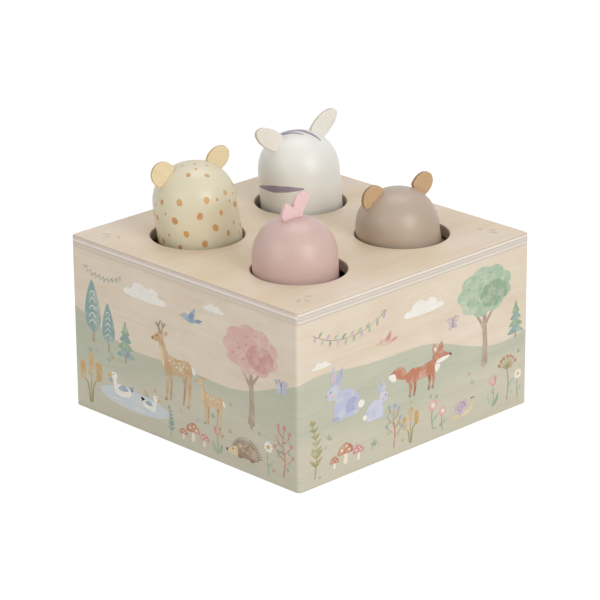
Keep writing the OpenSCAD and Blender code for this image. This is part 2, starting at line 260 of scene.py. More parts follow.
def printed_birch():
    """Birch plywood under a thin water-based print: cream sky over grey-green hills, and the grain shows."""
    made, tree, shader, place = material("printed_birch_plywood")
    streaks, fibres, both = grain(tree, place, True)
    wash = pattern(tree, place, (20, 20, 11.1), 4)
    over_far = over_hill(tree, place, wash, 42.0, 7.0, 0.6)
    over_near = over_hill(tree, place, wash, 25.0, 5.0, 3.1)
    sky = tinted(tree, "#E9DBC8", (wash, 0.3, 0.7, 1.0, "#E2D1BA"))
    far_hill = tinted(tree, "#C5C5B1", (wash, 0.35, 0.65, 1.0, "#BFC1AC"))
    low_hill = tinted(tree, "#CECAB4", (wash, 0.35, 0.65, 1.0, "#D1CAB7"))
    picture = tinted(tree, low_hill, (over_near, -5 * MM, 3 * MM, 1.0, far_hill),
                     (over_far, -0.2 * MM, 0.35 * MM, 1.0, sky),
                     (streaks, 0.42, 0.72, 0.12, "#CDB99B", "MULTIPLY"),
                     (fibres, 0.5, 0.75, 0.12, "#C3B199", "MULTIPLY"))
    surface(tree, shader, picture, (fibres, 0.5, 0.62), both, GRAIN_RELIEF)
    return made


def flat_ink(name, roughness, on_wood):
    """A flat print or paint mark, whose colour is its piece's own attribute: watery on the bare grain,
    even on a painted body."""
    made, tree, shader, place = material(name)
    own = add(tree, "Attribute", attribute_name="ink")
    blots = pattern(tree, place, (4, 4, 4), 4, 0.6)
    pale = tinted(tree, own, (blots, 0.45, 0.75, 0.55 if on_wood else 0.2, "#E9E2D0"))
    if on_wood:
        _, fibres, both = grain(tree, place, True)
        pale = tinted(tree, pale, (fibres, 0.5, 0.75, 0.14, "#C3B199", "MULTIPLY"))
        surface(tree, shader, pale, roughness, both, GRAIN_RELIEF)
    else:
        surface(tree, shader, pale, roughness)
    return made


def bare_birch():
    """Unfinished birch plywood, sanded: matt, with the veneer's fibres open."""
    made, tree, shader, place = material("bare_birch_plywood")
    streaks, fibres, _ = grain(tree, place)
    colour = tinted(tree, "#DECBAB", (streaks, 0.4, 0.7, 0.7, "#C8AD83"),
                    (fibres, 0.45, 0.75, 0.4, "#B99C73"))
    surface(tree, shader, colour, 0.7, fibres, 0.06)
    return made


def turned_beech():
    """Turned and sanded beech: pinkish tan, with the short dark flecks of its rays."""
    made, tree, shader, place = material("turned_beech")
    figure = pattern(tree, place, (8.33, 8.33, 33.3), 3, 0.5, 0.6)
    flecks = pattern(tree, place, (0.417, 0.417, 2.86), 1)
    colour = tinted(tree, "#DDBE93", (figure, 0.35, 0.7, 1.0, "#CBA476"), (flecks, 0.62, 0.7, 0.5, "#9F7648"))
    surface(tree, shader, colour, 0.62, flecks, 0.03)
    return made


def zinc_steel():
    """Zinc-plated steel screws: bright grey with a faint mottle."""
    made, tree, shader, place = material("zinc_plated_steel")
    spangle = pattern(tree, place, (0.667, 0.667, 0.667), 2)
    colour = tinted(tree, "#C3C5C6", (spangle, 0, 1, 1.0, "#A9ACAD"))
    surface(tree, shader, colour, (spangle, 0.28, 0.42))
    shader.inputs["Metallic"].default_value = 1.0
    return made


def spring_wire():
    """Drawn spring steel wire, lightly oiled: darker grey, with die marks along the wire."""
    made, tree, shader, place = material("drawn_spring_wire")
    marks = pattern(tree, place, (0.833, 0.833, 0.167))
    colour = tinted(tree, "#9A9C9E", (marks, 0, 1, 1.0, "#7C7E80"))
    surface(tree, shader, colour, (marks, 0.25, 0.4), marks, 0.01)
    shader.inputs["Metallic"].default_value = 1.0
    return made


def satin_paint(name, colour, shade):
    """Sprayed satin paint on turned beech: even colour, a soft sheen and the lathe's faint rings."""
    made, tree, shader, place = material(name)
    clouds = pattern(tree, place, (16.7, 16.7, 11.1))
    rings = pattern(tree, place, (100, 100, 0.4545), 2, 0.6)
    tone = tinted(tree, colour, (clouds, 0.3, 0.7, 1.0, shade))
    surface(tree, shader, tone, (rings, 0.34, 0.42), rings, 0.012)
    return made


def wool_felt(name, colour, shade, cut):
    """Pressed wool felt 2 mm thick: quite matt, with matted fibres, and a darker tone on its cut edge. That
    tone is partly the cut felt's own and partly painted shade.
    """
    made, tree, shader, place = material(name)
    matting = pattern(tree, place, (1.11, 1.11, 1.11), 5, 0.7, 0.8)
    hairs = pattern(tree, place, (0.2222, 0.2222, 0.2222), 3, 0.7, 1.5)
    # The cut edge's darker tone is partly painted shade: on the bear's ears it stands in for the shadowed
    # line of the slot at their foot.
    rim = add(tree, "Attribute", attribute_name="rim", out="Fac")
    hairy = tinted(tree, colour, (matting, 0.35, 0.7, 1.0, shade), (hairs, 0.55, 0.8, 0.35, shade),
                   (rim, 0, 1, 1.0, cut))
    surface(tree, shader, hairy, 0.95, add(tree, "Math", hairs, matting, operation="ADD"), 0.12)
    shader.inputs["Sheen Weight"].default_value = 0.25
    shader.inputs["Sheen Roughness"].default_value = 0.5
    return made


FINISH = {
    "veneer": birch_veneer(),
    "front_edge": birch_edge("birch_ply_front_edge", FRONT_PLIES, 0.12),
    "side_edge": birch_edge("birch_ply_side_edge", SIDE_PLIES, 0.12),
    "bore": birch_edge("bored_birch_ply_painted_shade", BORE_PLIES, 0.3),
    "printed": printed_birch(),
    "ink": flat_ink("print_on_birch", 0.55, True),
    "marks": flat_ink("painted_marks", 0.4, False),
    "bare": bare_birch(),
    "beech": turned_beech(),
    "zinc": zinc_steel(),
    "wire": spring_wire(),
}
# Each animal's paint and its shade, and its felt, the felt's shade and the tone of the felt's cut edge, which
# is darker partly as painted shade
COATS = {
    "cheetah": ("#E1D8BC", "#DCD3B5", "#F5E1BA", "#EBD6A8", "#DEC28C"),
    "zebra": ("#EDECE5", "#E8E6DD", "#FBF6EC", "#F0E9DB", "#E0D6C3"),
    "flamingo": ("#D4B6AD", "#CEB0A6", "#F7D6D4", "#EEC7C6", "#F2CBC8"),
    "bear": ("#BCA997", "#B4A28F", "#D5B289", "#C4A279", "#A88159"),
}
for animal_name, (paint, shade, *felt) in COATS.items():
    FINISH[animal_name + "_paint"] = satin_paint(animal_name + "_satin_paint", paint, shade)
    FINISH[animal_name + "_felt"] = wool_felt(animal_name + "_wool_felt", *felt)

# ---- Making pieces ----

# How far the surface turns at an edge that is shaded as a crease, and at one that is rounded
CREASE_ANGLE = math.radians(32)
CORNER_ANGLE = math.radians(57)


def set_down(name, bm, place=Matrix.Identity(4)):
    """Makes an object of a bmesh drawn in millimetres."""
    bmesh.ops.transform(bm, matrix=Matrix.Scale(MM, 4) @ place, verts=bm.verts)
    mesh = bpy.data.meshes.new(name)
    bm.to_mesh(mesh)
    bm.free()
    made = bpy.data.objects.new(name, mesh)
    scene.collection.objects.link(made)
    return made


def smooth(mesh):
    """Shades a mesh smooth between its creases."""
    mesh.shade_smooth()
    mesh.set_sharp_from_angle(angle=CREASE_ANGLE)


def piece(name, bm, body, finishes, replaces=(), place=Matrix.Identity(4)):
    """Turns a bmesh drawn in millimetres into a finished piece that rides on a body."""
    made = set_down(name, bm, place)
    for finish in finishes:
        made.data.materials.append(FINISH[finish])
    smooth(made.data)
    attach(made, body)
    if replaces:
        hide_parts(*replaces)
    return made


def as_shown(made):
    """The mesh of an object with its modifiers or its curve's thickness applied."""
    bpy.context.view_layer.update()
    return bpy.data.meshes.new_from_object(made.evaluated_get(bpy.context.evaluated_depsgraph_get()))


def settle(made):
    """Applies a piece's modifiers to its mesh."""
    mesh = as_shown(made)
    made.modifiers.clear()
    made.data = mesh


def closed(bm):
    """Merges doubles and turns every face outwards."""
    bmesh.ops.remove_doubles(bm, verts=bm.verts, dist=1e-4)
    bmesh.ops.recalc_face_normals(bm, faces=bm.faces)


def lathe(outline, steps):
    """A bmesh of an outline of (radius, height) points spun about Z."""
    bm = bmesh.new()
    verts = [bm.verts.new((radius, 0, height)) for radius, height in outline]
    edges = [bm.edges.new(pair) for pair in zip(verts, verts[1:])]
    bmesh.ops.spin(bm, geom=verts + edges, cent=(0, 0, 0), axis=(0, 0, 1), angle=math.tau, steps=steps,
                   use_merge=True)
    closed(bm)
    return bm


def bevelled(bm, edges, width, segments):
    """Rounds those of the edges at which the surface turns."""
    turning = [edge for edge in edges if edge.calc_face_angle() > CORNER_ANGLE]
    bmesh.ops.bevel(bm, geom=turning, offset=width, affect="EDGES", segments=segments, profile=0.5,
                    material=-1)


def new_verts(grown):
    """The vertices that an extrusion has made."""
    return [item for item in grown["geom"] if isinstance(item, bmesh.types.BMVert)]


# ---- Box ----

HOLES = [animal["hole"] for animal in ANIMALS.values()]
HOLE_STEPS = 160
RIM_STEPS = 5
CUT_PAST = 2.0


def hole_cutter():
    """A plug that reaches past the board and leaves a hole with a rounded upper rim."""
    rim = [(HOLE_R + RIM_EASE * (1 - math.cos(t)), BOX_H - RIM_EASE * (1 - math.sin(t)))
           for t in [math.pi / 2 * i / RIM_STEPS for i in range(RIM_STEPS + 1)]]
    foot, top = WALL_H - CUT_PAST, BOX_H + CUT_PAST
    return lathe([(0, foot), (HOLE_R, foot)] + rim + [(HOLE_R + RIM_EASE, top), (0, top)], HOLE_STEPS)


def board_finish(face):
    """The number of a face's finish in the board's own list: veneer, front edge, side edge or bore."""
    x, y, _ = face.center / MM
    if face.normal.z > 0.8:
        return 0
    if min(math.hypot(x - column * HOLE_AT, y - row * HOLE_AT) for column, row in HOLES) < HOLE_R + RIM_EASE:
        return 3
    return 1 if abs(face.normal.y) > abs(face.normal.x) else 2


def top_board():
    """The top panel: a board with eased edges, and four holes with rounded rims."""
    bm = bmesh.new()
    slab = moved(0, 0, BOX_H - TOP_T / 2) @ Matrix.Diagonal((BOX_W, BOX_W, TOP_T, 1))
    bmesh.ops.create_cube(bm, size=1, matrix=slab)
    bevelled(bm, [e for e in bm.edges if abs(e.verts[0].co.z - e.verts[1].co.z) > 1], CORNER_R, 8)
    for level, ease in ((BOX_H, TOP_EASE), (WALL_H, JOINT_EASE)):
        bevelled(bm, [e for e in bm.edges if all(abs(v.co.z - level) < 0.01 for v in e.verts)], ease, 3)
    finishes = ("veneer", "front_edge", "side_edge", "bore")
    board = piece("top_board", bm, "root", finishes, ["top_panel"])
    for column, row in HOLES:
        cutter = set_down("hole_cutter", hole_cutter(), moved(column * HOLE_AT, row * HOLE_AT, 0))
        cut = board.modifiers.new("hole", "BOOLEAN")
        cut.object = cutter
        cut.solver = "EXACT"
        settle(board)
        bpy.data.objects.remove(cutter)
    for face in board.data.polygons:
        face.material_index = board_finish(face)
    smooth(board.data)


def dress(node, finish):
    """Gives a node of the solid model its finish."""
    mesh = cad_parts[node].data
    mesh.materials.clear()
    mesh.materials.append(FINISH[finish])


top_board()
for side in ("front", "back", "left", "right"):
    dress(side + "_panel", "printed")
for side in ("front", "back"):
    for end in ("left", "right"):
        dress("corner_block_" + side + "_" + end, "beech")
dress("bottom_panel", "bare")
dress("base_screws", "zinc")
dress("foot_screws", "zinc")
for animal_name in ANIMALS:
    for node in ("foot_plug", "top_plug", "retaining_disc"):
        dress(animal_name + "_" + node, "beech")
    dress(animal_name + "_disc_screw", "zinc")

# ---- Springs ----

TURN_STEPS = 28


def spring_line(animal):
    """The spring's middle line, upright at its foot and bent to the animal's axis, and its rise."""
    lean = math.radians(animal["lean"])
    depth = DISC_FOOT + WIRE_R + WIRE_PLAY
    low = BASE_T + WIRE_R + WIRE_PLAY
    top_x = animal["shift"] - depth * math.sin(lean)
    rise = BOX_H - depth * math.cos(lean) - low

    def middle(t):
        shift = top_x * (3 * t * t - 2 * t ** 3) + rise * math.tan(lean) * (t ** 3 - t * t)
        return Vector((shift, 0, low + rise * t))
    return middle, rise


def wire_line(animal):
    """The middle of the spring's wire: open turns between two closed ones, round the spring's own middle."""
    middle, rise = spring_line(animal)
    open_pitch = (rise - 2 * CLOSED_PITCH) / OPEN_TURNS
    for index in range((OPEN_TURNS + 2) * TURN_STEPS + 1):
        n = index / TURN_STEPS
        closed_turns = min(n, 1) + max(n - 1 - OPEN_TURNS, 0)
        t = (CLOSED_PITCH * closed_turns + open_pitch * max(min(n - 1, OPEN_TURNS), 0)) / rise
        up = (middle(t + 0.01) - middle(t - 0.01)).normalized()
        across = Vector((up.z, 0, -up.x))
        turn = math.tau * n
        yield middle(t) + COIL_R * (math.cos(turn) * across + math.sin(turn) * Vector((0, 1, 0)))


def spring(name, animal):
    """A coil spring of round wire, which rides on its spring's body in place of the model's spring."""
    curve = bpy.data.curves.new(name, "CURVE")
    curve.dimensions = "3D"
    curve.bevel_depth = WIRE_R
    curve.bevel_resolution = 3
    curve.use_fill_caps = True
    wire = list(wire_line(animal))
    line = curve.splines.new("POLY")
    line.points.add(len(wire) - 1)
    for point, at in zip(line.points, wire):
        point.co = (*at, 1)
    holder = bpy.data.objects.new(name, curve)
    scene.collection.objects.link(holder)
    bm = bmesh.new()
    bm.from_mesh(as_shown(holder))
    bpy.data.objects.remove(holder)
    closed(bm)
    place = over_hole(animal, 0)
    made = piece(name + "_coil", bm, name + "_spring_body", ["wire"], [name + "_spring"],
                 place)
    middle, _ = spring_line(animal)
    axis = stand(animal).to_3x3() @ Vector((0, 0, 1))
    foot = place @ middle(0)
    length = (place @ middle(1) - foot).dot(axis) + WIRE_R
    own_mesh(made)


for animal_name, animal in ANIMALS.items():
    spring(animal_name, animal)

# ---- Animals ----

BODY_STEPS = 192
SIDE_STEPS = 10
DOME_STEPS = 60
FELT_EASE = 0.35
FELT_CELL = 0.28
# Half the width of the cut face between the felt's softened edges
CUT_HALF = 0.72
# Size and height of the felt's two sorts of unevenness
FLUFF = ((1.6, 0.10), (0.5, 0.05))
EAR_STEPS = 48
# Width of an ear's hidden tongue as a share of its straight foot
TONGUE_SHARE = 0.7


def on_skin(animal, point, lift=0.0):
    """The point of an animal's surface in a point's direction, seen from the middle of its shoulder."""
    shoulder = Vector((0, 0, animal["rise"] - DOME_H))
    away = Vector(point) - shoulder
    flat = math.hypot(away.x, away.y) / BODY_R
    steep = max(away.z, 0) / DOME_H
    reach = (flat ** DOME_POWER + steep ** DOME_POWER) ** (1 / DOME_POWER)
    return shoulder + away / reach + away.normalized() * lift


def aim(animal, angle, tilt):
    """A point on an animal's surface, by its compass angle and its tilt above the shoulder."""
    a, t = math.radians(angle), math.radians(tilt)
    ray = Vector((math.cos(a) * math.cos(t), math.sin(a) * math.cos(t), math.sin(t)))
    return on_skin(animal, ray + Vector((0, 0, animal["rise"] - DOME_H)))


def turned_body(name, animal):
    """A turned body: a straight side with a bevelled foot, and a full dome."""
    shoulder = animal["rise"] - DOME_H
    foot = FOOT_EASE - BODY_FOOT
    outline = [(0, -BODY_FOOT), (BODY_R - FOOT_EASE, -BODY_FOOT)]
    outline += [(BODY_R, foot + (shoulder - foot) * i / SIDE_STEPS) for i in range(SIDE_STEPS)]
    power = 2 / DOME_POWER
    for i in range(DOME_STEPS):
        t = math.pi / 2 * i / DOME_STEPS
        outline.append((BODY_R * math.cos(t) ** power, shoulder + DOME_H * math.sin(t) ** power))
    bm = lathe(outline + [(0, animal["rise"])], BODY_STEPS)
    paint = name + "_paint"
    piece(name + "_turned_body", bm, name + "_figure", [paint], [name + "_body"], stand(animal))


def felt_piece(name, outline, animal_name, node):
    """A felt cut-out: an outline in the plane of X and Z, thickened, softened and slightly uneven."""
    bm = bmesh.new()
    face = bm.faces.new([bm.verts.new((x, -FELT_T / 2, z)) for x, z in outline])
    grown = bmesh.ops.extrude_face_region(bm, geom=[face], use_keep_orig=True)
    bmesh.ops.translate(bm, verts=new_verts(grown), vec=(0, FELT_T, 0))
    bmesh.ops.recalc_face_normals(bm, faces=bm.faces)
    bevelled(bm, bm.edges, FELT_EASE, 2)
    slot = animal_name + "_felt"
    place = stand(ANIMALS[animal_name])
    made = piece(name, bm, animal_name + "_figure", [slot], [node], place)
    remesh = made.modifiers.new("felted", "REMESH")
    remesh.mode = "VOXEL"
    remesh.voxel_size = FELT_CELL * MM
    settle(made)
    mesh = made.data
    flat = place.inverted()
    # Marks the cut edge, which the felt's finish paints darker, partly as painted shade
    rim = mesh.attributes.new("rim", "FLOAT", "POINT")
    for vert, cut in zip(mesh.vertices, rim.data):
        cut.value = 1.0 if abs((flat @ (vert.co / MM)).y) < CUT_HALF else 0.0
    normals = [v.normal.copy() for v in mesh.vertices]
    for vert, normal in zip(mesh.vertices, normals):
        fluff = sum(noise.noise(vert.co / (size * MM)) * height for size, height in FLUFF)
        vert.co += normal * fluff * MM
    mesh.materials.clear()
    mesh.materials.append(FINISH[slot])
    mesh.shade_smooth()


def ear_outline(animal, side, wide, half_len, out, reach, splay, sunk):
    """An oval ear cut straight where it meets the dome, over a narrower tongue that is sunk in a slot."""
    dome = DOME_H * (1 - (reach / BODY_R) ** DOME_POWER) ** (1 / DOME_POWER)
    foot = Vector((side * reach, animal["rise"] - DOME_H + dome))
    a = math.radians(splay)
    along = Vector((side * math.sin(a), math.cos(a)))
    across = Vector((side * math.cos(a), -math.sin(a)))
    start = -math.asin((out + sunk) / half_len)
    ring = []
    for i in range(EAR_STEPS + 1):
        t = start + (math.pi - 2 * start) * i / EAR_STEPS
        ring.append(foot + along * (out + half_len * math.sin(t)) + across * (wide / 2 * math.cos(t)))
    half_tongue = wide / 2 * math.cos(start) * TONGUE_SHARE
    tongue = [foot - along * low + across * half_tongue * sign
              for low, sign in ((sunk, -1), (FELT_SEAT, -1), (FELT_SEAT, 1), (sunk, 1))]
    return [tuple(p) for p in ring + tongue]


# Width, half length, how far its middle stands out, distance from the axis, splay, and how deep the straight
# foot sinks in at its middle, of each ear
EARS = {
    ("cheetah", "left"): (11.2, 5.8, 2.2, 11.6, 38, 0.4),
    ("cheetah", "right"): (9.5, 6.2, 3.0, 11.6, 59, 1.6),
    ("zebra", "left"): (8.9, 9.9, 5.2, 10.4, 56, 0.4),
    ("zebra", "right"): (9.4, 9.7, 4.8, 11.7, 60, 1.8),
    ("bear", "left"): (11.6, 5.3, 1.2, 9.6, 33, 0.4),
    ("bear", "right"): (9.3, 6.1, 3.2, 12.7, 55, 0.4),
}


def smooth_line(points, steps, ring=False):
    """Points of a smooth line through a few chosen ones; a ring comes back to its first."""
    count = len(points)
    line = []
    for i in range(count if ring else count - 1):
        near = [(i + k) % count if ring else min(max(i + k, 0), count - 1) for k in (-1, 0, 1, 2)]
        a, b, c, d = (Vector(points[n]) for n in near)
        for k in range(steps):
            t = k / steps
            line.append(0.5 * (2 * b + (c - a) * t + (2 * a - 5 * b + 4 * c - d) * t * t
                               + (3 * b - a - 3 * c + d) * t ** 3))
    if not ring:
        line.append(Vector(points[-1]))
    return line


def crest_outline():
    """The crest's two lobes over its foot: a short one, and a tall one that leans outwards."""
    top = ANIMALS["flamingo"]["rise"]
    chosen = [(-4.4, -FELT_SEAT), (4.2, -FELT_SEAT), (4.2, 0.6), (4.7, 2.2), (6.0, 4.1), (7.1, 6.1),
              (7.9, 8.3), (7.5, 9.5), (6.2, 10.3), (4.3, 10.4), (2.7, 9.8), (1.3, 8.6), (0.4, 7.1),
              (0.0, 5.8), (-0.1, 4.8), (-0.8, 4.4), (-1.5, 4.9), (-2.1, 6.1), (-3.2, 6.7), (-4.4, 6.2),
              (-5.1, 4.9), (-5.7, 3.2), (-6.2, 1.3), (-6.1, 0.2), (-5.3, -0.5)]
    return [(p.x, top + p.y) for p in smooth_line(chosen, 4, True)]


for animal_name, animal in ANIMALS.items():
    turned_body(animal_name, animal)
for (animal_name, side), sizes in EARS.items():
    outline = ear_outline(ANIMALS[animal_name], -1 if side == "left" else 1, *sizes)
    ear = animal_name + "_" + side
    felt_piece(ear + "_felt_ear", outline, animal_name, ear + "_ear")
felt_piece("flamingo_felt_crest", crest_outline(), "flamingo", "flamingo_crest")

# ---- Painted marks on the animals ----

MARK_T = 0.05
MARK_SUNK = 0.05
EYE = "#4A3C35"
TAWNY = "#8A6B4C"
# Compass angle of the faces, which look away from the camera
FACE = 90
SPOT_CELLS = 10
STRIPE_CELLS = 4


def between(values, share):
    """The value at a share of a list of evenly spaced values."""
    at = min(max(share, 0), 1) * (len(values) - 1)
    low = min(int(at), len(values) - 2)
    return values[low] + (values[low + 1] - values[low]) * (at - low)


class Marks:
    """Painted marks of one animal, each a closed plate that follows its skin."""

    def __init__(self, name):
        self.name = name
        self.animal = ANIMALS[name]
        self.bm = bmesh.new()
        self.ink = self.bm.verts.layers.float_color.new("ink")

    def at(self, *places):
        """Points of the skin, each by its compass angle and its tilt."""
        return [aim(self.animal, angle, tilt) for angle, tilt in places]

    def lay(self, across, along, to_point, colour, lift):
        """A plate over a grid of shares from -1 to 1, each placed by to_point(u, v)."""
        made = bmesh.ops.create_grid(self.bm, x_segments=across, y_segments=along, size=1)
        faces = {face for vert in made["verts"] for face in vert.link_faces}
        for vert in made["verts"]:
            vert.co = on_skin(self.animal, to_point(vert.co.x, vert.co.y), MARK_T + lift)
            vert[self.ink] = linear(colour)
        for vert in new_verts(bmesh.ops.extrude_face_region(self.bm, geom=list(faces), use_keep_orig=True)):
            vert.co = on_skin(self.animal, vert.co, -MARK_SUNK)
            vert[self.ink] = linear(colour)

    def spot(self, angle, tilt, half_w, half_h, colour, turn=0.0, wobble=0.1, lift=0.0):
        """An oval spot, a little uneven, at a compass angle and a tilt above the shoulder."""
        middle = aim(self.animal, angle, tilt)
        out = Vector((middle.x, middle.y, 0)).normalized()
        side = Vector((-out.y, out.x, 0))
        up = (middle - aim(self.animal, angle, tilt - 3)).normalized()
        t = math.radians(turn)
        right, over = side * math.cos(t) + up * math.sin(t), up * math.cos(t) - side * math.sin(t)

        def to_point(u, v):
            x, y = u * math.sqrt(1 - v * v / 2), v * math.sqrt(1 - u * u / 2)
            swell = 1 + wobble * noise.noise(Vector((x * 0.6 + angle, y * 0.6 + tilt, 0.5)))
            return middle + right * (x * half_w * swell) + over * (y * half_h * swell)
        self.lay(SPOT_CELLS, SPOT_CELLS, to_point, colour, lift)

    def stripe(self, points, widths, colour, lift=0.0):
        """A tapered stripe along a smooth line through a few points near the skin."""
        line = smooth_line(points, 8)
        last = len(line) - 1
        shoulder = Vector((0, 0, self.animal["rise"] - DOME_H))

        def to_point(u, v):
            share = (v + 1) / 2 * last
            low = min(int(share), last - 1)
            here = line[low].lerp(line[low + 1], share - low)
            along = (line[low + 1] - line[low]).normalized()
            side = along.cross((here - shoulder).normalized()).normalized()
            return here + side * (u * between(widths, share / last) / 2)
        self.lay(STRIPE_CELLS, last * 2, to_point, colour, lift)

    def eyes(self, apart, tilt, half_w, half_h):
        """Two dark eyes, each so many degrees off the middle of the face."""
        for side in (-1, 1):
            self.spot(FACE + side * apart, tilt, half_w, half_h, EYE)

    def finish(self):
        """Makes one piece of the animal's marks, which rides on its body."""
        bmesh.ops.recalc_face_normals(self.bm, faces=self.bm.faces)
        piece(self.name + "_marks", self.bm, self.name + "_figure", ["marks"], (),
              stand(self.animal))


# Compass angle, tilt, size from 1 to 3 and slant of the cheetah's spots on the side that faces the camera
SPOTS = [(190, 79, 1, 0), (290, 79, 1, 0), (311, 64, 1, 0), (264, 67, 1, 0), (276, 16, 1, 0), (297, 7, 1, 0),
         (197, 5, 1, 0), (299, -23, 1, 0), (198, -24, 1, 0), (238, 59, 2, 0), (278, 51, 2, 30),
         (293, 20, 2, 10), (191, 20, 2, 0), (309, -2, 2, 0), (278, -3, 2, 0), (285, -31, 2, 0),
         (183, -32, 2, 0), (213, -36, 2, 0), (221, 21, 3, 0), (260, 19, 3, 0), (247, -1, 3, -20),
         (211, -4, 3, 25), (266, -20, 3, 20), (225, -22, 3, 15), (248, -35, 3, 0), (176, -4, 2, 0),
         (173, 13, 1, 0), (313, -38, 2, 0)]
SPOT_SIZES = {1: (0.5, 0.75), 2: (0.95, 1.25), 3: (1.3, 1.65)}
SPOT_COLOURS = ["#CC9560", "#C98F58", "#D09F66", "#CF9C55"]
SPOTS_REPEAT = 138


def cheetah_marks():
    """Ochre spots all round, and a small face on the far side."""
    marks = Marks("cheetah")
    for copy in range(3):
        for index, (angle, tilt, size, slant) in enumerate(SPOTS):
            at = angle + copy * SPOTS_REPEAT
            on_crown = tilt > 60
            on_face = abs((at - FACE + 180) % 360 - 180) < 38 and tilt < 35
            over_first = copy == 2 and angle > 250
            if copy and (on_crown or on_face or over_first):
                continue
            marks.spot(at, tilt, *SPOT_SIZES[size], SPOT_COLOURS[(index + copy) % 4], slant, 0.2)
    marks.eyes(22, 6, 0.95, 1.05)
    for side in (-1, 1):
        tear = marks.at((FACE + side * 15, 2), (FACE + side * 12, -8), (FACE + side * 13, -16))
        mouth = marks.at((FACE, -12), (FACE + side * 4, -15), (FACE + side * 8, -13))
        marks.stripe(tear, [0.3, 0.7, 0.3], TAWNY)
        marks.stripe(mouth, [0.5, 0.5, 0.2], EYE, 0.01)
    marks.spot(FACE, -7, 1.5, 1.0, TAWNY, 0, 0.05, 0.02)
    marks.finish()


def zebra_marks():
    """A tapered stripe on each side, stripes over the crown, and a small face with a grey muzzle."""
    marks = Marks("zebra")
    grey = "#978A9C"
    low = [(148, -13), (167, -9.6), (189, -7.8), (212, -6.6), (234, -7)]
    marks.stripe(marks.at(*low), [0.2, 1.7, 3.2, 2.7, 0.5], grey)
    marks.stripe(marks.at(*[(184 - angle, tilt) for angle, tilt in low[:4]]), [0.2, 1.9, 2.6, 0.2], grey)
    for side in (-1, 1):
        brow = marks.at((FACE + side * 14, 34), (FACE + side * 25, 29), (FACE + side * 35, 27))
        marks.stripe(brow, [0.3, 1.8, 0.2], grey)
    marks.stripe([(-5.0, 6.9, 30), (-1.0, 4.3, 31.6), (2.5, 0.9, 32), (3.6, -4.6, 31.4), (4.8, -10.8, 28.6)],
                 [2.8, 3.8, 3.4, 2.6, 0.6], grey)
    marks.stripe([(-6.6, 6.6, 30), (-3.6, 2.6, 31.6), (-1.4, -0.4, 32), (0.2, -4.9, 31.6)],
                 [2.4, 2.6, 2.0, 0.3], grey)
    marks.stripe([(-1.2, 11.4, 28), (3.2, 9.0, 29.6), (6.6, 4.6, 30.4)], [0.3, 1.9, 0.3], grey)
    marks.spot(FACE, -24, 7.2, 5.0, "#A79AA6", 0, 0.03)
    marks.eyes(23, 4, 0.95, 1.1)
    for side in (-1, 1):
        marks.spot(FACE + side * 8, -21, 0.5, 0.7, "#6E6270", side * 15, 0.0, 0.02)
    marks.finish()


def flamingo_marks():
    """Two eyes and a curved beak with a dark tip, on the far side."""
    marks = Marks("flamingo")
    marks.eyes(27, 26, 0.9, 1.0)
    marks.spot(FACE, 18, 2.5, 3.0, "#EBD9BE", 0, 0.02)
    marks.spot(FACE, 11, 1.7, 1.5, "#5B4A43", 0, 0.02, 0.02)
    marks.finish()


def bear_marks():
    """Two eyes and a pale muzzle with a nose and a mouth, on the far side."""
    marks = Marks("bear")
    marks.eyes(25, 30, 0.9, 1.0)
    for side in (-1, 1):
        mouth = marks.at((FACE, 14), (FACE + side * 5, 11), (FACE + side * 9, 13))
        marks.stripe(mouth, [0.5, 0.45, 0.2], EYE, 0.03)
    marks.spot(FACE, 17, 4.4, 3.3, "#D6C4B2", 0, 0.02)
    marks.spot(FACE, 21, 1.5, 1.0, EYE, 0, 0.02, 0.02)
    marks.finish()


cheetah_marks()
zebra_marks()
flamingo_marks()
bear_marks()

# ---- Prints on the walls ----

# Height of the first ink and of each plate over the last, and how deep all reach into the wood
INK_T = 0.03
INK_STEP = 0.008
INK_SUNK = 0.04
OVAL_STEPS = 24
LEAF_STEPS = 8
# The inks, all muted
SAGE, MOSS, PINE = "#A9BFA4", "#8FA98D", "#8AA5A0"
PINK, ROSE, RUST = "#DDB3AA", "#CF9490", "#C17E60"
OCHRE, SAND, TAN = "#D8AE6C", "#E6CFA4", "#C9A67B"
LILAC, SLATE, MAUVE = "#BEC2DA", "#94A8BE", "#C7B2C4"
BARK, COCOA, CREAM, SNOW = "#B09C86", "#8E7563", "#F0E6D2", "#F3EFE6"
OLIVE = "#A29A5E"


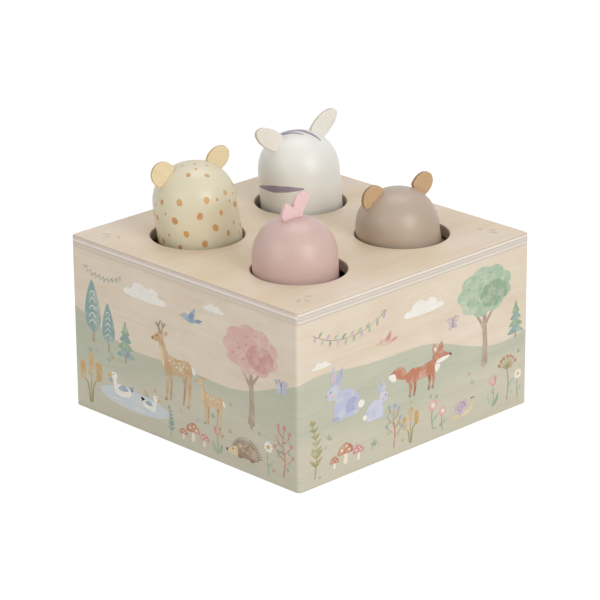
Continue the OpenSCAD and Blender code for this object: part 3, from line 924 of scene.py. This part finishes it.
class Pen:
    """Draws the print of one wall, flat and in millimetres: X runs along the wall and Y is up."""

    def __init__(self):
        self.bm = bmesh.new()
        self.ink = self.bm.verts.layers.float_color.new("ink")

    def start(self, x, y, size, turn=0.0, lift=INK_T):
        """Begins a motif at a place; a negative size mirrors it."""
        self.place = moved(x, y, 0) @ turned(turn, "Z") @ Matrix.Diagonal((size, abs(size), 1, 1))
        self.lift = lift

    def plate(self, points, colour):
        """A flat closed plate of one colour, over those that are there already."""
        self.lift += INK_STEP
        spots = [self.place @ Vector((point[0], point[1], 0)) for point in points]
        verts = [self.bm.verts.new((spot.x, spot.y, self.lift)) for spot in spots]
        face = self.bm.faces.new(verts)
        low = new_verts(bmesh.ops.extrude_face_region(self.bm, geom=[face], use_keep_orig=True))
        for vert in low:
            vert.co.z = -INK_SUNK
        for vert in verts + low:
            vert[self.ink] = linear(colour)

    def blob(self, points, colour):
        """A plate with a smooth outline through a few points."""
        self.plate(smooth_line(points, 5, True), colour)

    def oval(self, x, y, half_w, half_h, colour, turn=0.0):
        """An oval plate, turned about its middle."""
        t = math.radians(turn)
        ring = [math.tau * i / OVAL_STEPS for i in range(OVAL_STEPS)]
        self.plate([(x + half_w * math.cos(a) * math.cos(t) - half_h * math.sin(a) * math.sin(t),
                     y + half_w * math.cos(a) * math.sin(t) + half_h * math.sin(a) * math.cos(t))
                    for a in ring], colour)

    def stroke(self, points, widths, colour):
        """A line of changing width, with rounded ends."""
        line = smooth_line(points, 5)
        last = len(line) - 1
        left, right = [], []
        for i, point in enumerate(line):
            along = (line[min(i + 1, last)] - line[max(i - 1, 0)]).normalized()
            side = Vector((-along.y, along.x)) * between(widths, i / last) / 2
            left.append(point + side)
            right.append(point - side)
        start = line[0] - (line[1] - line[0]).normalized() * widths[0] * 0.4
        end = line[-1] + (line[-1] - line[-2]).normalized() * widths[-1] * 0.4
        self.plate(left + [end] + right[::-1] + [start], colour)

    def leaf(self, foot, tip, width, colour, bow=0.0):
        """A pointed leaf from its foot to its tip, which may bow to the left or, below zero, to the right."""
        foot, tip = Vector(foot), Vector(tip)
        side = Vector((foot.y - tip.y, tip.x - foot.x)).normalized()
        rim = []
        for sign, steps in ((1, range(LEAF_STEPS + 1)), (-1, range(LEAF_STEPS - 1, 0, -1))):
            for i in steps:
                t = i / LEAF_STEPS
                off = bow * math.sin(math.pi * t) + sign * width / 2 * math.sin(math.pi * t ** 0.85)
                rim.append(foot.lerp(tip, t) + side * off)
        self.plate(rim, colour)

    def finish(self, name, slot, place):
        """Makes one piece of all that is drawn."""
        bmesh.ops.recalc_face_normals(self.bm, faces=self.bm.faces)
        piece(name, self.bm, "root", ["ink"], (), place)


def scallops(x, y, half_w, half_h, lobes, depth, turn=0.0):
    """The outline of a leafy crown: an oval with round lobes."""
    ring = []
    for i in range(lobes * 6):
        a = math.tau * i / (lobes * 6) + turn
        swell = 1 + depth * abs(math.sin(a * lobes / 2))
        ring.append((x + half_w * swell * math.cos(a), y + half_h * swell * math.sin(a)))
    return ring


def round_tree(pen, crown=SAGE, shade=MOSS, leaves=MOSS):
    """A tree 43 mm tall, with a wide leafy crown on a forked trunk."""
    pen.stroke([(0, 0), (0.4, 9), (0, 20), (0.4, 28)], [4.2, 2.8, 2.2, 1.4], BARK)
    pen.stroke([(0, 15), (-3, 20), (-7, 25)], [2.0, 1.2, 0.8], BARK)
    pen.stroke([(0.2, 17), (3.4, 21), (7.6, 26)], [1.8, 1.1, 0.8], BARK)
    pen.plate(scallops(0, 32, 14.5, 9.6, 9, 0.13), crown)
    pen.plate(scallops(5.5, 29.6, 7.5, 5.2, 7, 0.12, 0.4), shade)
    for i in range(13):
        a, share = 2.4 * i, math.sqrt(i / 13)
        x, y = 12 * share * math.cos(a), 32.4 + 7.6 * share * math.sin(a)
        pen.leaf((x - 0.9, y - 0.4), (x + 0.9, y + 0.3), 0.7, leaves)


def poplar(pen):
    """A slim tree 34 mm tall, with a few drooping sprays in its crown."""
    pen.stroke([(0, 0), (0.3, 6), (0, 14)], [2.2, 1.5, 1.0], BARK)
    pen.blob([(0, 5.5), (4.6, 8), (6.2, 14), (4.8, 22), (2.4, 29), (0, 33.5), (-2.6, 29), (-4.9, 22),
              (-6, 14), (-4.4, 8)], PINE)
    for level in range(5):
        y, reach = 10 + level * 3.9, 3.0 - level * 0.35
        for side in (-1, 1):
            pen.stroke([(0, y + 1.8), (side * 1.4, y + 1.0), (side * reach, y - 0.6)], [0.5, 0.3], SNOW)


def fir(pen, crown=MOSS):
    """A fir 30 mm tall of four tiers."""
    pen.stroke([(0, 0), (0, 5)], [2.4, 1.8], BARK)
    for tier, (half, low, high) in enumerate([(9, 4, 13), (7.6, 10, 18.4), (6, 15.6, 24), (4.2, 21, 30)]):
        middle = (low + high) / 2
        rim = [(-half, low), (-half * 0.42, middle), (0, high), (half * 0.42, middle), (half, low),
               (half * 0.4, low - 0.9), (0, low + 0.1), (-half * 0.4, low - 0.9)]
        pen.plate(smooth_line(rim, 4, True), crown if tier % 2 else PINE)


def deer(pen, coat=TAN, antlers=True):
    """A standing deer 36 mm tall, that looks to the left."""
    for top_x, foot_x, width in ((-3.4, -3.8, 2.2), (5.4, 4.6, 2.8)):
        leg = [(top_x, 15), ((top_x + foot_x) / 2 + 0.5, 8), (foot_x, 0.6)]
        pen.stroke(leg, [width, 1.3, 1.0], "#B8946C")
    for top_x, top_y, foot_x, width in ((-6, 15, -6.4, 2.6), (8, 16, 7.8, 4.0)):
        leg = [(top_x, top_y), ((top_x + foot_x) / 2 + 0.7, 8), (foot_x, 0.2)]
        pen.stroke(leg, [width, 1.5, 1.1], coat)
        pen.oval(foot_x - 0.3, 0.3, 0.9, 0.7, COCOA)
    pen.leaf((9.6, 20), (12.4, 16), 2.4, SNOW)
    pen.blob([(-8.4, 18), (-6, 21.4), (1, 20.6), (7.6, 21.4), (10.4, 18.6), (9, 14.4), (2, 13.2), (-5, 13),
              (-8, 14.6)], coat)
    pen.stroke([(-5.6, 17), (-7.8, 22.5), (-9.6, 28)], [6.4, 3.8, 2.8], coat)
    pen.leaf((-7.4, 14.4), (-9.4, 25.5), 2.0, SAND, 0.4)
    pen.leaf((-8.6, 29.4), (-4.8, 31.4), 2.1, coat)
    pen.leaf((-8.4, 29.7), (-5.8, 31.0), 1.0, PINK)
    pen.blob([(-8.4, 30), (-10, 30.8), (-12, 29.6), (-15, 27.2), (-14.8, 26), (-12.4, 25.8), (-9.4, 26.4),
              (-8, 28)], coat)
    pen.oval(-11.6, 28.5, 0.42, 0.42, EYE)
    pen.oval(-14.7, 26.8, 0.55, 0.5, EYE)
    for x, y in ((-4, 19), (-1, 18.6), (2, 19.2), (5, 18.4), (0.6, 17), (3.6, 16.8), (7.4, 18.6)):
        pen.oval(x, y, 0.5, 0.42, CREAM)
    if antlers:
        for beam, tine in (([(-9.6, 30.2), (-10.6, 33), (-9.2, 36)], [(-10.4, 32.6), (-12.4, 34.6)]),
                           ([(-9.0, 30.2), (-8.0, 33), (-6.2, 35.2)], [(-8.1, 32.8), (-8.2, 35.4)])):
            pen.stroke(beam, [0.8, 0.55, 0.35], COCOA)
            pen.stroke(tine, [0.5, 0.3], COCOA)


def fawn(pen):
    """A paler deer without antlers."""
    deer(pen, "#D6B58A", False)


def fox(pen):
    """A walking fox 39 mm long, that looks to the right."""
    pen.leaf((-8.2, 9), (-20.5, 12.6), 5.6, RUST, -2.0)
    pen.leaf((-15.6, 9.8), (-20.6, 12.7), 3.4, SNOW, -0.5)
    for x, colour in ((-4.6, "#A96B51"), (4.4, "#A96B51"), (-7.2, RUST), (6.8, RUST)):
        pen.stroke([(x, 8), (x + 0.5, 4), (x - 0.2, 0.4)], [2.6, 1.4, 1.0], colour)
        pen.oval(x - 0.1, 0.5, 0.75, 0.7, COCOA)
    pen.blob([(-9.6, 9.4), (-6.4, 12.4), (0, 11.8), (6.8, 13), (9.6, 11), (8.4, 7.6), (2, 6.4), (-5, 6.2),
              (-9, 7)], RUST)
    pen.leaf((8.6, 6.6), (9.6, 13), 3.2, SNOW, -0.5)
    pen.leaf((8.4, 15), (7.4, 20), 3.0, RUST)
    pen.leaf((11.2, 15.6), (12.2, 20), 2.8, RUST)
    pen.leaf((8.4, 15.6), (7.8, 18.8), 1.3, SNOW)
    pen.blob([(6.6, 13.4), (8, 16.4), (11.4, 17), (13.8, 14.8), (18, 12.6), (14, 10.8), (9.4, 10.4)], RUST)
    pen.blob([(8.6, 11.6), (12, 12.6), (17.6, 12.4), (14, 10.9), (9.8, 10.5)], SNOW)
    pen.oval(12.4, 14.2, 0.45, 0.45, EYE)
    pen.oval(17.6, 12.6, 0.7, 0.6, EYE)


def rabbit(pen, coat=LILAC, shade="#ABB1CD"):
    """A sitting rabbit 24 mm tall, that looks to the left."""
    pen.leaf((-5.6, 14.6), (-1.4, 22.4), 3.2, shade)
    pen.blob([(-5, 10), (-1, 12.6), (4, 11.4), (8, 7.4), (8.8, 3), (6.6, 0.4), (0, 0), (-5, 0.2), (-6.6, 3),
              (-6.2, 7)], coat)
    pen.oval(4.2, 4.2, 4.0, 3.8, shade, 20)
    pen.oval(9.2, 3.6, 1.9, 1.7, SNOW)
    pen.oval(4.2, 0.9, 3.8, 1.0, coat)
    pen.oval(-5.2, 0.8, 2.3, 0.9, shade)
    pen.oval(-6.8, 12.8, 4.0, 3.3, coat, 18)
    pen.leaf((-7.0, 15.2), (-6.4, 24), 3.1, coat)
    pen.leaf((-6.9, 15.8), (-6.5, 22.6), 1.3, PINK)
    pen.oval(-8.4, 13.5, 0.45, 0.5, EYE)
    pen.oval(-10.5, 12.2, 0.5, 0.4, ROSE)
    pen.oval(-6.6, 11.4, 1.0, 0.7, PINK)


def small_rabbit(pen):
    """A paler rabbit."""
    rabbit(pen, "#C9CCE0", LILAC)


def duck(pen):
    """A swimming duck 19 mm long, that looks to the left."""
    pen.leaf((4.4, 4.6), (8.6, 7.6), 2.6, SLATE)
    pen.blob([(-5.8, 4), (-4.4, 6.4), (0, 6.6), (4.6, 6.2), (6.8, 5), (5.4, 1.8), (0, 0.7), (-4.4, 1.4)],
             SNOW)
    pen.stroke([(-4, 4), (-5, 7), (-5, 9.4)], [3.4, 2.4, 2.2], SNOW)
    pen.oval(-5.4, 10, 2.2, 2.0, SNOW)
    pen.leaf((-6.9, 10), (-10.2, 9.2), 1.6, OCHRE)
    pen.leaf((-2.6, 4.4), (5, 4.8), 3.2, SLATE, 0.5)
    pen.oval(-6, 10.5, 0.35, 0.35, EYE)


def pond(pen):
    """A pond 52 mm wide, with ripples."""
    pen.oval(0, 0, 26, 5.6, "#CFD6DA")
    for x, y, long in ((-14, -2.4, 7), (3, -3.6, 9), (15, -1.4, 6), (-3, 2.6, 6)):
        pen.stroke([(x - long / 2, y), (x, y + 0.3), (x + long / 2, y)], [0.2, 0.55, 0.2], SNOW)


def hedgehog(pen):
    """A hedgehog 22 mm long, that looks to the left."""
    for i in range(19):
        a = math.radians(8 + i * 8.6)
        spine = [(1 + long * math.cos(a), 1.5 + tall * math.sin(a)) for long, tall in ((7, 6), (9.9, 8.8))]
        pen.stroke(spine, [0.9, 0.25], "#9C8069" if i % 2 else COCOA)
    pen.blob([(-6.6, 1), (-6, 4.6), (-2, 7.6), (4, 7.4), (8, 4.8), (8.6, 1.2), (4, 0.4), (-3, 0.3)],
             "#A58A72")
    pen.blob([(-4.6, 0.6), (-4.8, 4.4), (-7, 4.4), (-9.4, 2.8), (-11.6, 1.5), (-9.6, 0.5), (-7, 0.2)], SAND)
    for x in (-3, 4.6):
        pen.oval(x, 0.3, 1.3, 0.7, COCOA)
    pen.oval(-11.4, 1.6, 0.65, 0.6, EYE)
    pen.oval(-7.6, 2.9, 0.4, 0.42, EYE)
    for x, y in ((-3, 5), (0, 5.8), (3, 5.4), (-1.4, 3.4), (1.8, 3.4), (5.2, 3.6)):
        pen.stroke([(x, y), (x + 0.9, y + 1.3)], [0.5, 0.2], SAND)


def bird(pen, coat=SLATE, wing="#7F95AD"):
    """A small flying bird, 14 mm across."""
    pen.leaf((2, 0.4), (7, 1.6), 1.7, wing)
    pen.leaf((-4.4, 1.0), (3.6, 0.2), 3.4, coat, 0.3)
    pen.oval(-3.8, 1.3, 1.7, 1.5, coat)
    pen.leaf((-5.2, 1.4), (-7.2, 1.0), 0.9, OCHRE)
    pen.leaf((-1.4, 0.9), (2.4, 6.2), 2.6, wing, -0.6)
    pen.oval(-4.2, 1.6, 0.3, 0.3, EYE)


def butterfly(pen, wing=PINK, inner=OCHRE):
    """A butterfly 9 mm across."""
    for side in (-1, 1):
        pen.leaf((0, 0.4), (side * 4.6, 3.6), 3.4, wing)
        pen.leaf((0, -0.2), (side * 3.2, -3.0), 2.6, wing)
        pen.oval(side * 2.9, 2.2, 0.8, 0.6, inner, side * 38)
        pen.stroke([(0, 1.8), (side * 1.0, 3.4), (side * 1.8, 4.0)], [0.25, 0.2], COCOA)
    pen.stroke([(0, -2.2), (0, 2.0)], [0.5, 0.9], COCOA)


def snail(pen):
    """A snail 13 mm long, that looks to the right."""
    pen.stroke([(-5.6, 0.4), (-1, 0.7), (4, 0.7), (6.2, 2.8), (6.6, 4.2)], [0.8, 1.9, 1.8, 1.5, 1.2], SAND)
    pen.oval(-0.4, 3.8, 3.7, 3.4, MAUVE)
    spiral = [(-0.4 + r * math.cos(a), 3.7 + r * math.sin(a))
              for a, r in ((0.9 * i, 2.9 - 0.29 * i) for i in range(10))]
    pen.stroke(spiral, [0.7, 0.5, 0.3], "#A98FA8")
    for x in (6.2, 7.4):
        pen.stroke([(6.6, 4.4), (x, 6.2)], [0.4, 0.3], SAND)
        pen.oval(x, 6.4, 0.35, 0.35, EYE)


def mushroom(pen, cap=RUST):
    """A mushroom 8 mm tall, with a spotted cap."""
    pen.stroke([(0, 0.2), (0.2, 2), (0, 4.6)], [2.7, 1.9, 1.6], CREAM)
    pen.blob([(-4.2, 3.9), (-3.4, 6.3), (0, 8), (3.4, 6.3), (4.2, 3.9), (2, 3.4), (0, 3.6), (-2, 3.4)], cap)
    for x, y, r in ((-1.9, 5.3, 0.6), (0.6, 6.5, 0.5), (2, 4.9, 0.55)):
        pen.oval(x, y, r, r * 0.85, CREAM)


def mushrooms(pen):
    """A mushroom between two smaller ones."""
    mushroom(pen)
    place = pen.place
    for x, size, cap in ((7, 0.7, ROSE), (-6, 0.55, RUST)):
        pen.place = place @ moved(x, -0.6, 0) @ Matrix.Diagonal((size, size, 1, 1))
        mushroom(pen, cap)


def fern(pen, colour):
    """A bowed stem 28 mm tall, with seven pairs of leaves that get smaller to its tip."""
    stem = [(0, 0), (1.2, 9.1), (0.6, 18.2), (-1.6, 26)]
    line = smooth_line(stem, 8)
    pen.stroke(stem, [0.8, 0.6, 0.5, 0.3], colour)
    for i in range(7):
        foot = line[int((0.22 + 0.7 * i / 6) * (len(line) - 1))]
        long = 5.2 * (1 - 0.55 * i / 6)
        for side in (-1, 1):
            pen.leaf(foot, foot + Vector((side * long * 0.8, long * 0.75)), long * 0.34, colour, side * 0.3)
    pen.leaf(line[-2], line[-1] + Vector((-0.5, 1.8)), 1.1, colour)


def berry_twig(pen, berries):
    """A branched twig 23 mm tall, with small leaves and berries."""
    pen.stroke([(0, 0), (0.8, 8), (-0.4, 15), (0.6, 21)], [0.8, 0.6, 0.5, 0.3], RUST)
    for i, (y, side) in enumerate([(5, 1), (7.4, -1), (10, 1), (12.4, -1), (15, 1), (17.2, -1)]):
        tip = (side * (5.6 - 0.5 * i), y + 4.2)
        pen.stroke([(0.3, y), (side * 2.4, y + 1.6), tip], [0.5, 0.4, 0.25], RUST)
        pen.oval(tip[0], tip[1] + 0.5, 0.9, 1.0, berries)
        pen.leaf((side * 2.2, y + 1.6), (side * 4.4, y + 0.4), 1.1, SAGE)
    pen.oval(0.6, 21.8, 1.0, 1.1, berries)


def ochre_grass(pen):
    """Three bowed stalks, up to 26 mm tall, with ears of grain."""
    for foot_x, tip_x, tall in ((0, 0.8, 24), (-0.8, -5.6, 18.5), (0.8, 6.2, 20)):
        bend = foot_x + (tip_x - foot_x) * 0.3
        pen.stroke([(foot_x, 0), (bend, tall * 0.5), (tip_x, tall - 7)], [0.6, 0.5, 0.4], OLIVE)
        for i in range(5):
            y = tall - 8 + i * 1.7
            for side in (-1, 1):
                pen.leaf((tip_x, y), (tip_x + side * 1.9, y + 2.2), 1.1, OCHRE)
        pen.leaf((tip_x, tall - 0.6), (tip_x, tall + 2.4), 1.1, OCHRE)


def tulip(pen):
    """A tulip 18 mm tall."""
    pen.stroke([(0, 0), (0.5, 6), (0, 12.6)], [0.7, 0.6, 0.5], MOSS)
    pen.leaf((0, 0.4), (-3.6, 9), 2.0, SAGE, 0.9)
    pen.leaf((0, 0.2), (3.8, 7.4), 1.9, MOSS, -0.9)
    pen.blob([(-1.9, 12.6), (-2.6, 15.4), (-2.2, 17.2), (-1.0, 15.8), (0, 17.6), (1.0, 15.8), (2.2, 17.2),
              (2.6, 15.4), (1.9, 12.6), (0, 11.7)], ROSE)
    pen.leaf((0, 12), (0, 17), 1.5, "#E0B0AA")


def daisy(pen, petals=SNOW, middle=OCHRE, tall=14.0):
    """A daisy on a thin stem."""
    pen.stroke([(0, 0), (-0.7, tall * 0.5), (0, tall)], [0.6, 0.5, 0.4], MOSS)
    pen.leaf((-0.4, tall * 0.3), (3.2, tall * 0.55), 1.4, SAGE)
    for i in range(9):
        a = math.tau * i / 9
        foot, tip = ((r * math.cos(a), tall + r * math.sin(a)) for r in (0.7, 3.1))
        pen.leaf(foot, tip, 1.5, petals)
    pen.oval(0, tall, 1.1, 1.1, middle)


def pink_daisy(pen):
    """A shorter daisy in pink."""
    daisy(pen, PINK, CREAM, 11.0)


def umbel(pen):
    """A stalk 20 mm tall with a fan of seeds."""
    pen.stroke([(0, 0), (0.8, 7), (0, 13.6)], [0.7, 0.6, 0.5], OLIVE)
    for i in range(7):
        a = math.radians(28 + 20.6 * i)
        tip = (5.6 * math.cos(a), 13.6 + 5.6 * math.sin(a))
        pen.stroke([(0, 13.6), tip], [0.4, 0.25], OLIVE)
        pen.oval(*tip, 0.75, 0.75, RUST)
    pen.leaf((0.6, 5), (4.6, 8.4), 1.6, SAGE)


def cloud(pen):
    """A flat cloud 26 mm wide."""
    pen.blob([(-13, 0.4), (-12, 2.8), (-8.6, 3.2), (-6.4, 6), (-2, 6.8), (1.6, 5.2), (4.6, 6.4), (8, 5),
              (9, 2.8), (12.4, 2.4), (13, 0.4), (6, -0.6), (-6, -0.6)], SNOW)


def garland(pen):
    """A hanging leafy garland, 60 mm wide."""
    points = [(-30, 3), (-16, -3.4), (0, -5.4), (16, -3.4), (30, 3)]
    pen.stroke(points, [0.5, 0.5], BARK)
    for i, foot in enumerate(smooth_line(points, 5)[1:-1], 1):
        reach = Vector((-1.0, -3.6)) if i % 2 else Vector((3.4, 3.0))
        pen.leaf(foot, foot + reach, 1.7, (SAGE, MAUVE, MOSS)[i % 3], 0.3)


def tuft(pen, blades=MOSS):
    """A small tuft of grass."""
    for x, tall in ((-1.5, 2.6), (-0.5, 3.8), (0.6, 3.4), (1.6, 2.4)):
        pen.leaf((x * 0.4, 0), (x * 1.3, tall), 0.6, blades)


# Each wall's motifs, with the place, the size and, where they differ, the colours
PRINTS = {
    "left": [
        (poplar, 13, 33, 0.85), (poplar, 23, 31, 0.66), (fir, 34, 29, 0.62), (cloud, 47, 61, 1.0),
        (bird, 76, 59, 1.0), (round_tree, 112, 23, 1.02, PINK, "#D19D98", ROSE), (deer, 66, 19, 0.98),
        (fawn, 88, 15, 0.66),
        (pond, 39, 12, 0.86), (duck, 31, 11.5, 0.9), (duck, 49, 10.5, -0.68), (mushrooms, 76, 5, 1.0),
        (ochre_grass, 10.5, 4, 0.9), (berry_twig, 131, 5, 1.0, ROSE), (hedgehog, 108, 6, 0.95),
        (daisy, 122, 3, 0.9), (tulip, 91, 3, 0.75), (butterfly, 130, 44, 0.9, LILAC, OCHRE),
        (cloud, 90, 67, 0.45), (garland, 20, 66, 0.42), (fern, 62, 3, 0.5, PINE)],
    "front": [
        (rabbit, 27, 26, 1.02), (small_rabbit, 45, 20, -0.7), (fox, 73, 24, 1.0), (round_tree, 112, 26, 1.05),
        (cloud, 74, 60, 0.9), (garland, 30, 65, 0.72), (bird, 52, 52, 0.9, PINK, ROSE), (fir, 132, 33, 0.56),
        (butterfly, 92, 50, 0.8, MAUVE, SAND), (fern, 9, 4, 0.95, OLIVE), (mushrooms, 27, 6, 1.1),
        (berry_twig, 56, 4, 0.86, SLATE), (ochre_grass, 66, 3, 0.62), (pink_daisy, 80, 5, 1.0),
        (pink_daisy, 86, 3, 0.8), (snail, 98, 6, 1.0), (umbel, 127, 5, 1.05), (tulip, 118, 4, 0.85),
        (daisy, 134, 4, 0.8), (tuft, 44, 8, 1.0), (cloud, 13, 52, 0.4)],
    "right": [
        (round_tree, 24, 24, 1.0), (poplar, 42, 31, 0.7), (fox, 70, 20, -0.95), (rabbit, 100, 24, 0.95),
        (small_rabbit, 115, 19, 0.62), (fir, 128, 31, 0.8), (cloud, 64, 62, 0.9), (bird, 88, 56, -0.9),
        (butterfly, 50, 54, 0.85), (pond, 96, 8, 0.6), (duck, 97, 7.5, 0.66), (umbel, 8, 4, 0.9),
        (mushrooms, 44, 5, 1.0), (ochre_grass, 60, 3, 0.7), (tulip, 122, 4, 0.9), (daisy, 130, 3, 0.9),
        (fern, 133, 3, 0.5, PINE), (garland, 114, 66, 0.6), (hedgehog, 20, 6, -0.9)],
    "back": [
        (fir, 14, 30, 0.95), (fir, 27, 28, 0.7, PINE), (deer, 52, 18, -0.95), (fawn, 32, 14, -0.62),
        (round_tree, 86, 24, 0.95, PINK, "#D19D98", ROSE), (rabbit, 112, 22, -0.9), (poplar, 129, 30, 0.8),
        (cloud, 50, 63, 0.8), (cloud, 108, 62, 0.9), (bird, 72, 62, 0.8, PINK, ROSE), (garland, 18, 66, 0.45),
        (hedgehog, 74, 6, 0.95), (snail, 98, 5, -1.0), (berry_twig, 8, 4, 0.9, SLATE),
        (mushrooms, 52, 5, 0.9), (ochre_grass, 118, 3, 0.8), (pink_daisy, 90, 4, 1.0), (daisy, 132, 4, 0.9),
        (butterfly, 104, 48, 0.8), (tulip, 64, 3, 0.8)],
}
# Quarter turns from the front wall, seen from above
WALL_TURNS = {"front": 0, "right": 1, "back": 2, "left": 3}


# The tufts of grass that are scattered over each wall: how many, how near to its ends, from and to which
# height, how large and how slanting; the motifs lie over them
TUFTS = 34
TUFT_MARGIN = 5
TUFT_HEIGHTS = (3, 30)
TUFT_SIZES = (0.35, 0.75)
TUFT_SLANT = 12
MOTIF_LIFT = INK_T + 0.02
SEED = 7


def print_wall(side, motifs):
    """Draws a wall's motifs, with small tufts of grass scattered between them."""
    pen = Pen()
    chance = random.Random(SEED + WALL_TURNS[side])
    for _ in range(TUFTS):
        pen.start(chance.uniform(TUFT_MARGIN, BOX_W - TUFT_MARGIN), chance.uniform(*TUFT_HEIGHTS),
                  chance.uniform(*TUFT_SIZES), chance.uniform(-TUFT_SLANT, TUFT_SLANT))
        tuft(pen, chance.choice((MOSS, SAGE, PINE, MAUVE, TAN)))
    for draw, x, y, size, *colours in motifs:
        pen.start(x, y, size, lift=MOTIF_LIFT)
        draw(pen, *colours)
    upright = moved(-BOX_W / 2, -BOX_W / 2, 0) @ turned(90, "X")
    pen.finish(side + "_print", "printed_plywood", turned(90 * WALL_TURNS[side], "Z") @ upright)


# Foot, tip and colour of the three leaves near one corner of the top
SPRIG = [((57, 58), (61.5, 60), "#BEBDB2"), ((56, 59.4), (57.4, 63.6), "#C3BBAE"),
         ((54, 57), (50.4, 59.6), "#C6BFB0")]


def print_top():
    """A small sprig of three faint leaves in each corner of the top panel."""
    pen = Pen()
    for turn in range(4):
        pen.start(0, 0, 1, 90 * turn)
        for foot, tip, colour in SPRIG:
            pen.leaf(foot, tip, 1.4, colour, 0.3)
    pen.finish("top_print", "top_plywood", moved(0, 0, BOX_H))


for side_name, motif_list in PRINTS.items():
    print_wall(side_name, motif_list)
print_top()

# ---- Stage ----

# Degrees, and millimetres for the distance, the lens and how far the camera is moved up and to the left
CAMERA = {"azimuth": -44.379, "elevation": 20.494, "roll": -0.441, "distance": 1402.9, "lens": 191.17,
          "up": 45.18, "left": 0.50}
# Bearing from the camera's own, to the right, and height in degrees; distance and width in millimetres; watts
LAMPS = {
    "key": (39, 27, 1500, 780, 10.2),
    "fill": (-48, 25, 1500, 800, 4.4),
    "top": (170, 70, 1400, 900, 5.4),
}
LAMP_AIM = 50.0
FLOOR_HALF = 6000.0
WHITE = "#FFFFFF"


def heading(azimuth, elevation):
    """The direction from the toy towards an azimuth, counted from the front, and an elevation."""
    a, e = math.radians(azimuth), math.radians(elevation)
    return Vector((math.sin(a) * math.cos(e), -math.cos(a) * math.cos(e), math.sin(e)))


def make_camera():
    """The camera of the photograph's view, with its slight roll."""
    back = heading(CAMERA["azimuth"], CAMERA["elevation"])
    right = (-back).cross(Vector((0, 0, 1))).normalized()
    level = Matrix((right, right.cross(-back), back)).transposed()
    axes = level @ Matrix.Rotation(math.radians(CAMERA["roll"]), 3, "Z")
    right, up, back = axes.col
    data = bpy.data.cameras.new("camera")
    data.sensor_width = 36
    data.lens = CAMERA["lens"]
    data.clip_end = 20
    made = bpy.data.objects.new("camera", data)
    scene.collection.objects.link(made)
    made.location = (back * CAMERA["distance"] + up * CAMERA["up"] - right * CAMERA["left"]) * MM
    made.rotation_mode = "QUATERNION"
    made.rotation_quaternion = axes.to_quaternion()
    scene.camera = made


def lamp(name, bearing, height, distance, width, power):
    """A round soft box, aimed at the toy."""
    data = bpy.data.lights.new(name, "AREA")
    data.shape = "DISK"
    data.size = width * MM
    data.energy = power
    made = bpy.data.objects.new(name, data)
    back = heading(CAMERA["azimuth"] + bearing, height)
    made.location = (back * distance + Vector((0, 0, LAMP_AIM))) * MM
    made.rotation_mode = "QUATERNION"
    made.rotation_quaternion = back.to_track_quat("Z", "Y")
    scene.collection.objects.link(made)


def seen_share(tree):
    """One for the rays that show the background: camera, glossy and transmission."""
    path = add(tree, "LightPath").node.outputs
    shiny = add(tree, "Math", path["Is Glossy Ray"], path["Is Transmission Ray"], operation="MAXIMUM")
    return add(tree, "Math", path["Is Camera Ray"], shiny, operation="MAXIMUM")


def make_surroundings():
    """A soft cool light from all round, which the camera sees as white."""
    scene.world = bpy.data.worlds.new("studio")
    scene.world.use_nodes = True
    tree = scene.world.node_tree
    tree.nodes.clear()
    fill = add(tree, "Background", "#F3F5F8", 0.37)
    white = add(tree, "Background", WHITE, 1.0)
    add(tree, "OutputWorld", add(tree, "MixShader", seen_share(tree), fill, white))


def make_floor():
    """A plain pale floor that keeps a faint shadow."""
    made, tree, shader, _ = material("pale_floor")
    shader.inputs["Base Color"].default_value = linear("#F1EFEC")
    shader.inputs["Roughness"].default_value = 0.9
    share = add(tree, "Math", seen_share(tree), 0.85, operation="MULTIPLY")
    mix = add(tree, "MixShader", share, shader.outputs[0], add(tree, "Emission", WHITE, 1.12))
    tree.links.new(mix, tree.nodes["Material Output"].inputs["Surface"])
    bm = bmesh.new()
    bmesh.ops.create_grid(bm, x_segments=1, y_segments=1, size=FLOOR_HALF)
    floor = set_down("floor", bm)
    floor.data.materials.append(made)


make_camera()
make_surroundings()
make_floor()
for lamp_name, setting in LAMPS.items():
    lamp(lamp_name, *setting)
scene.view_settings.view_transform = "Standard"
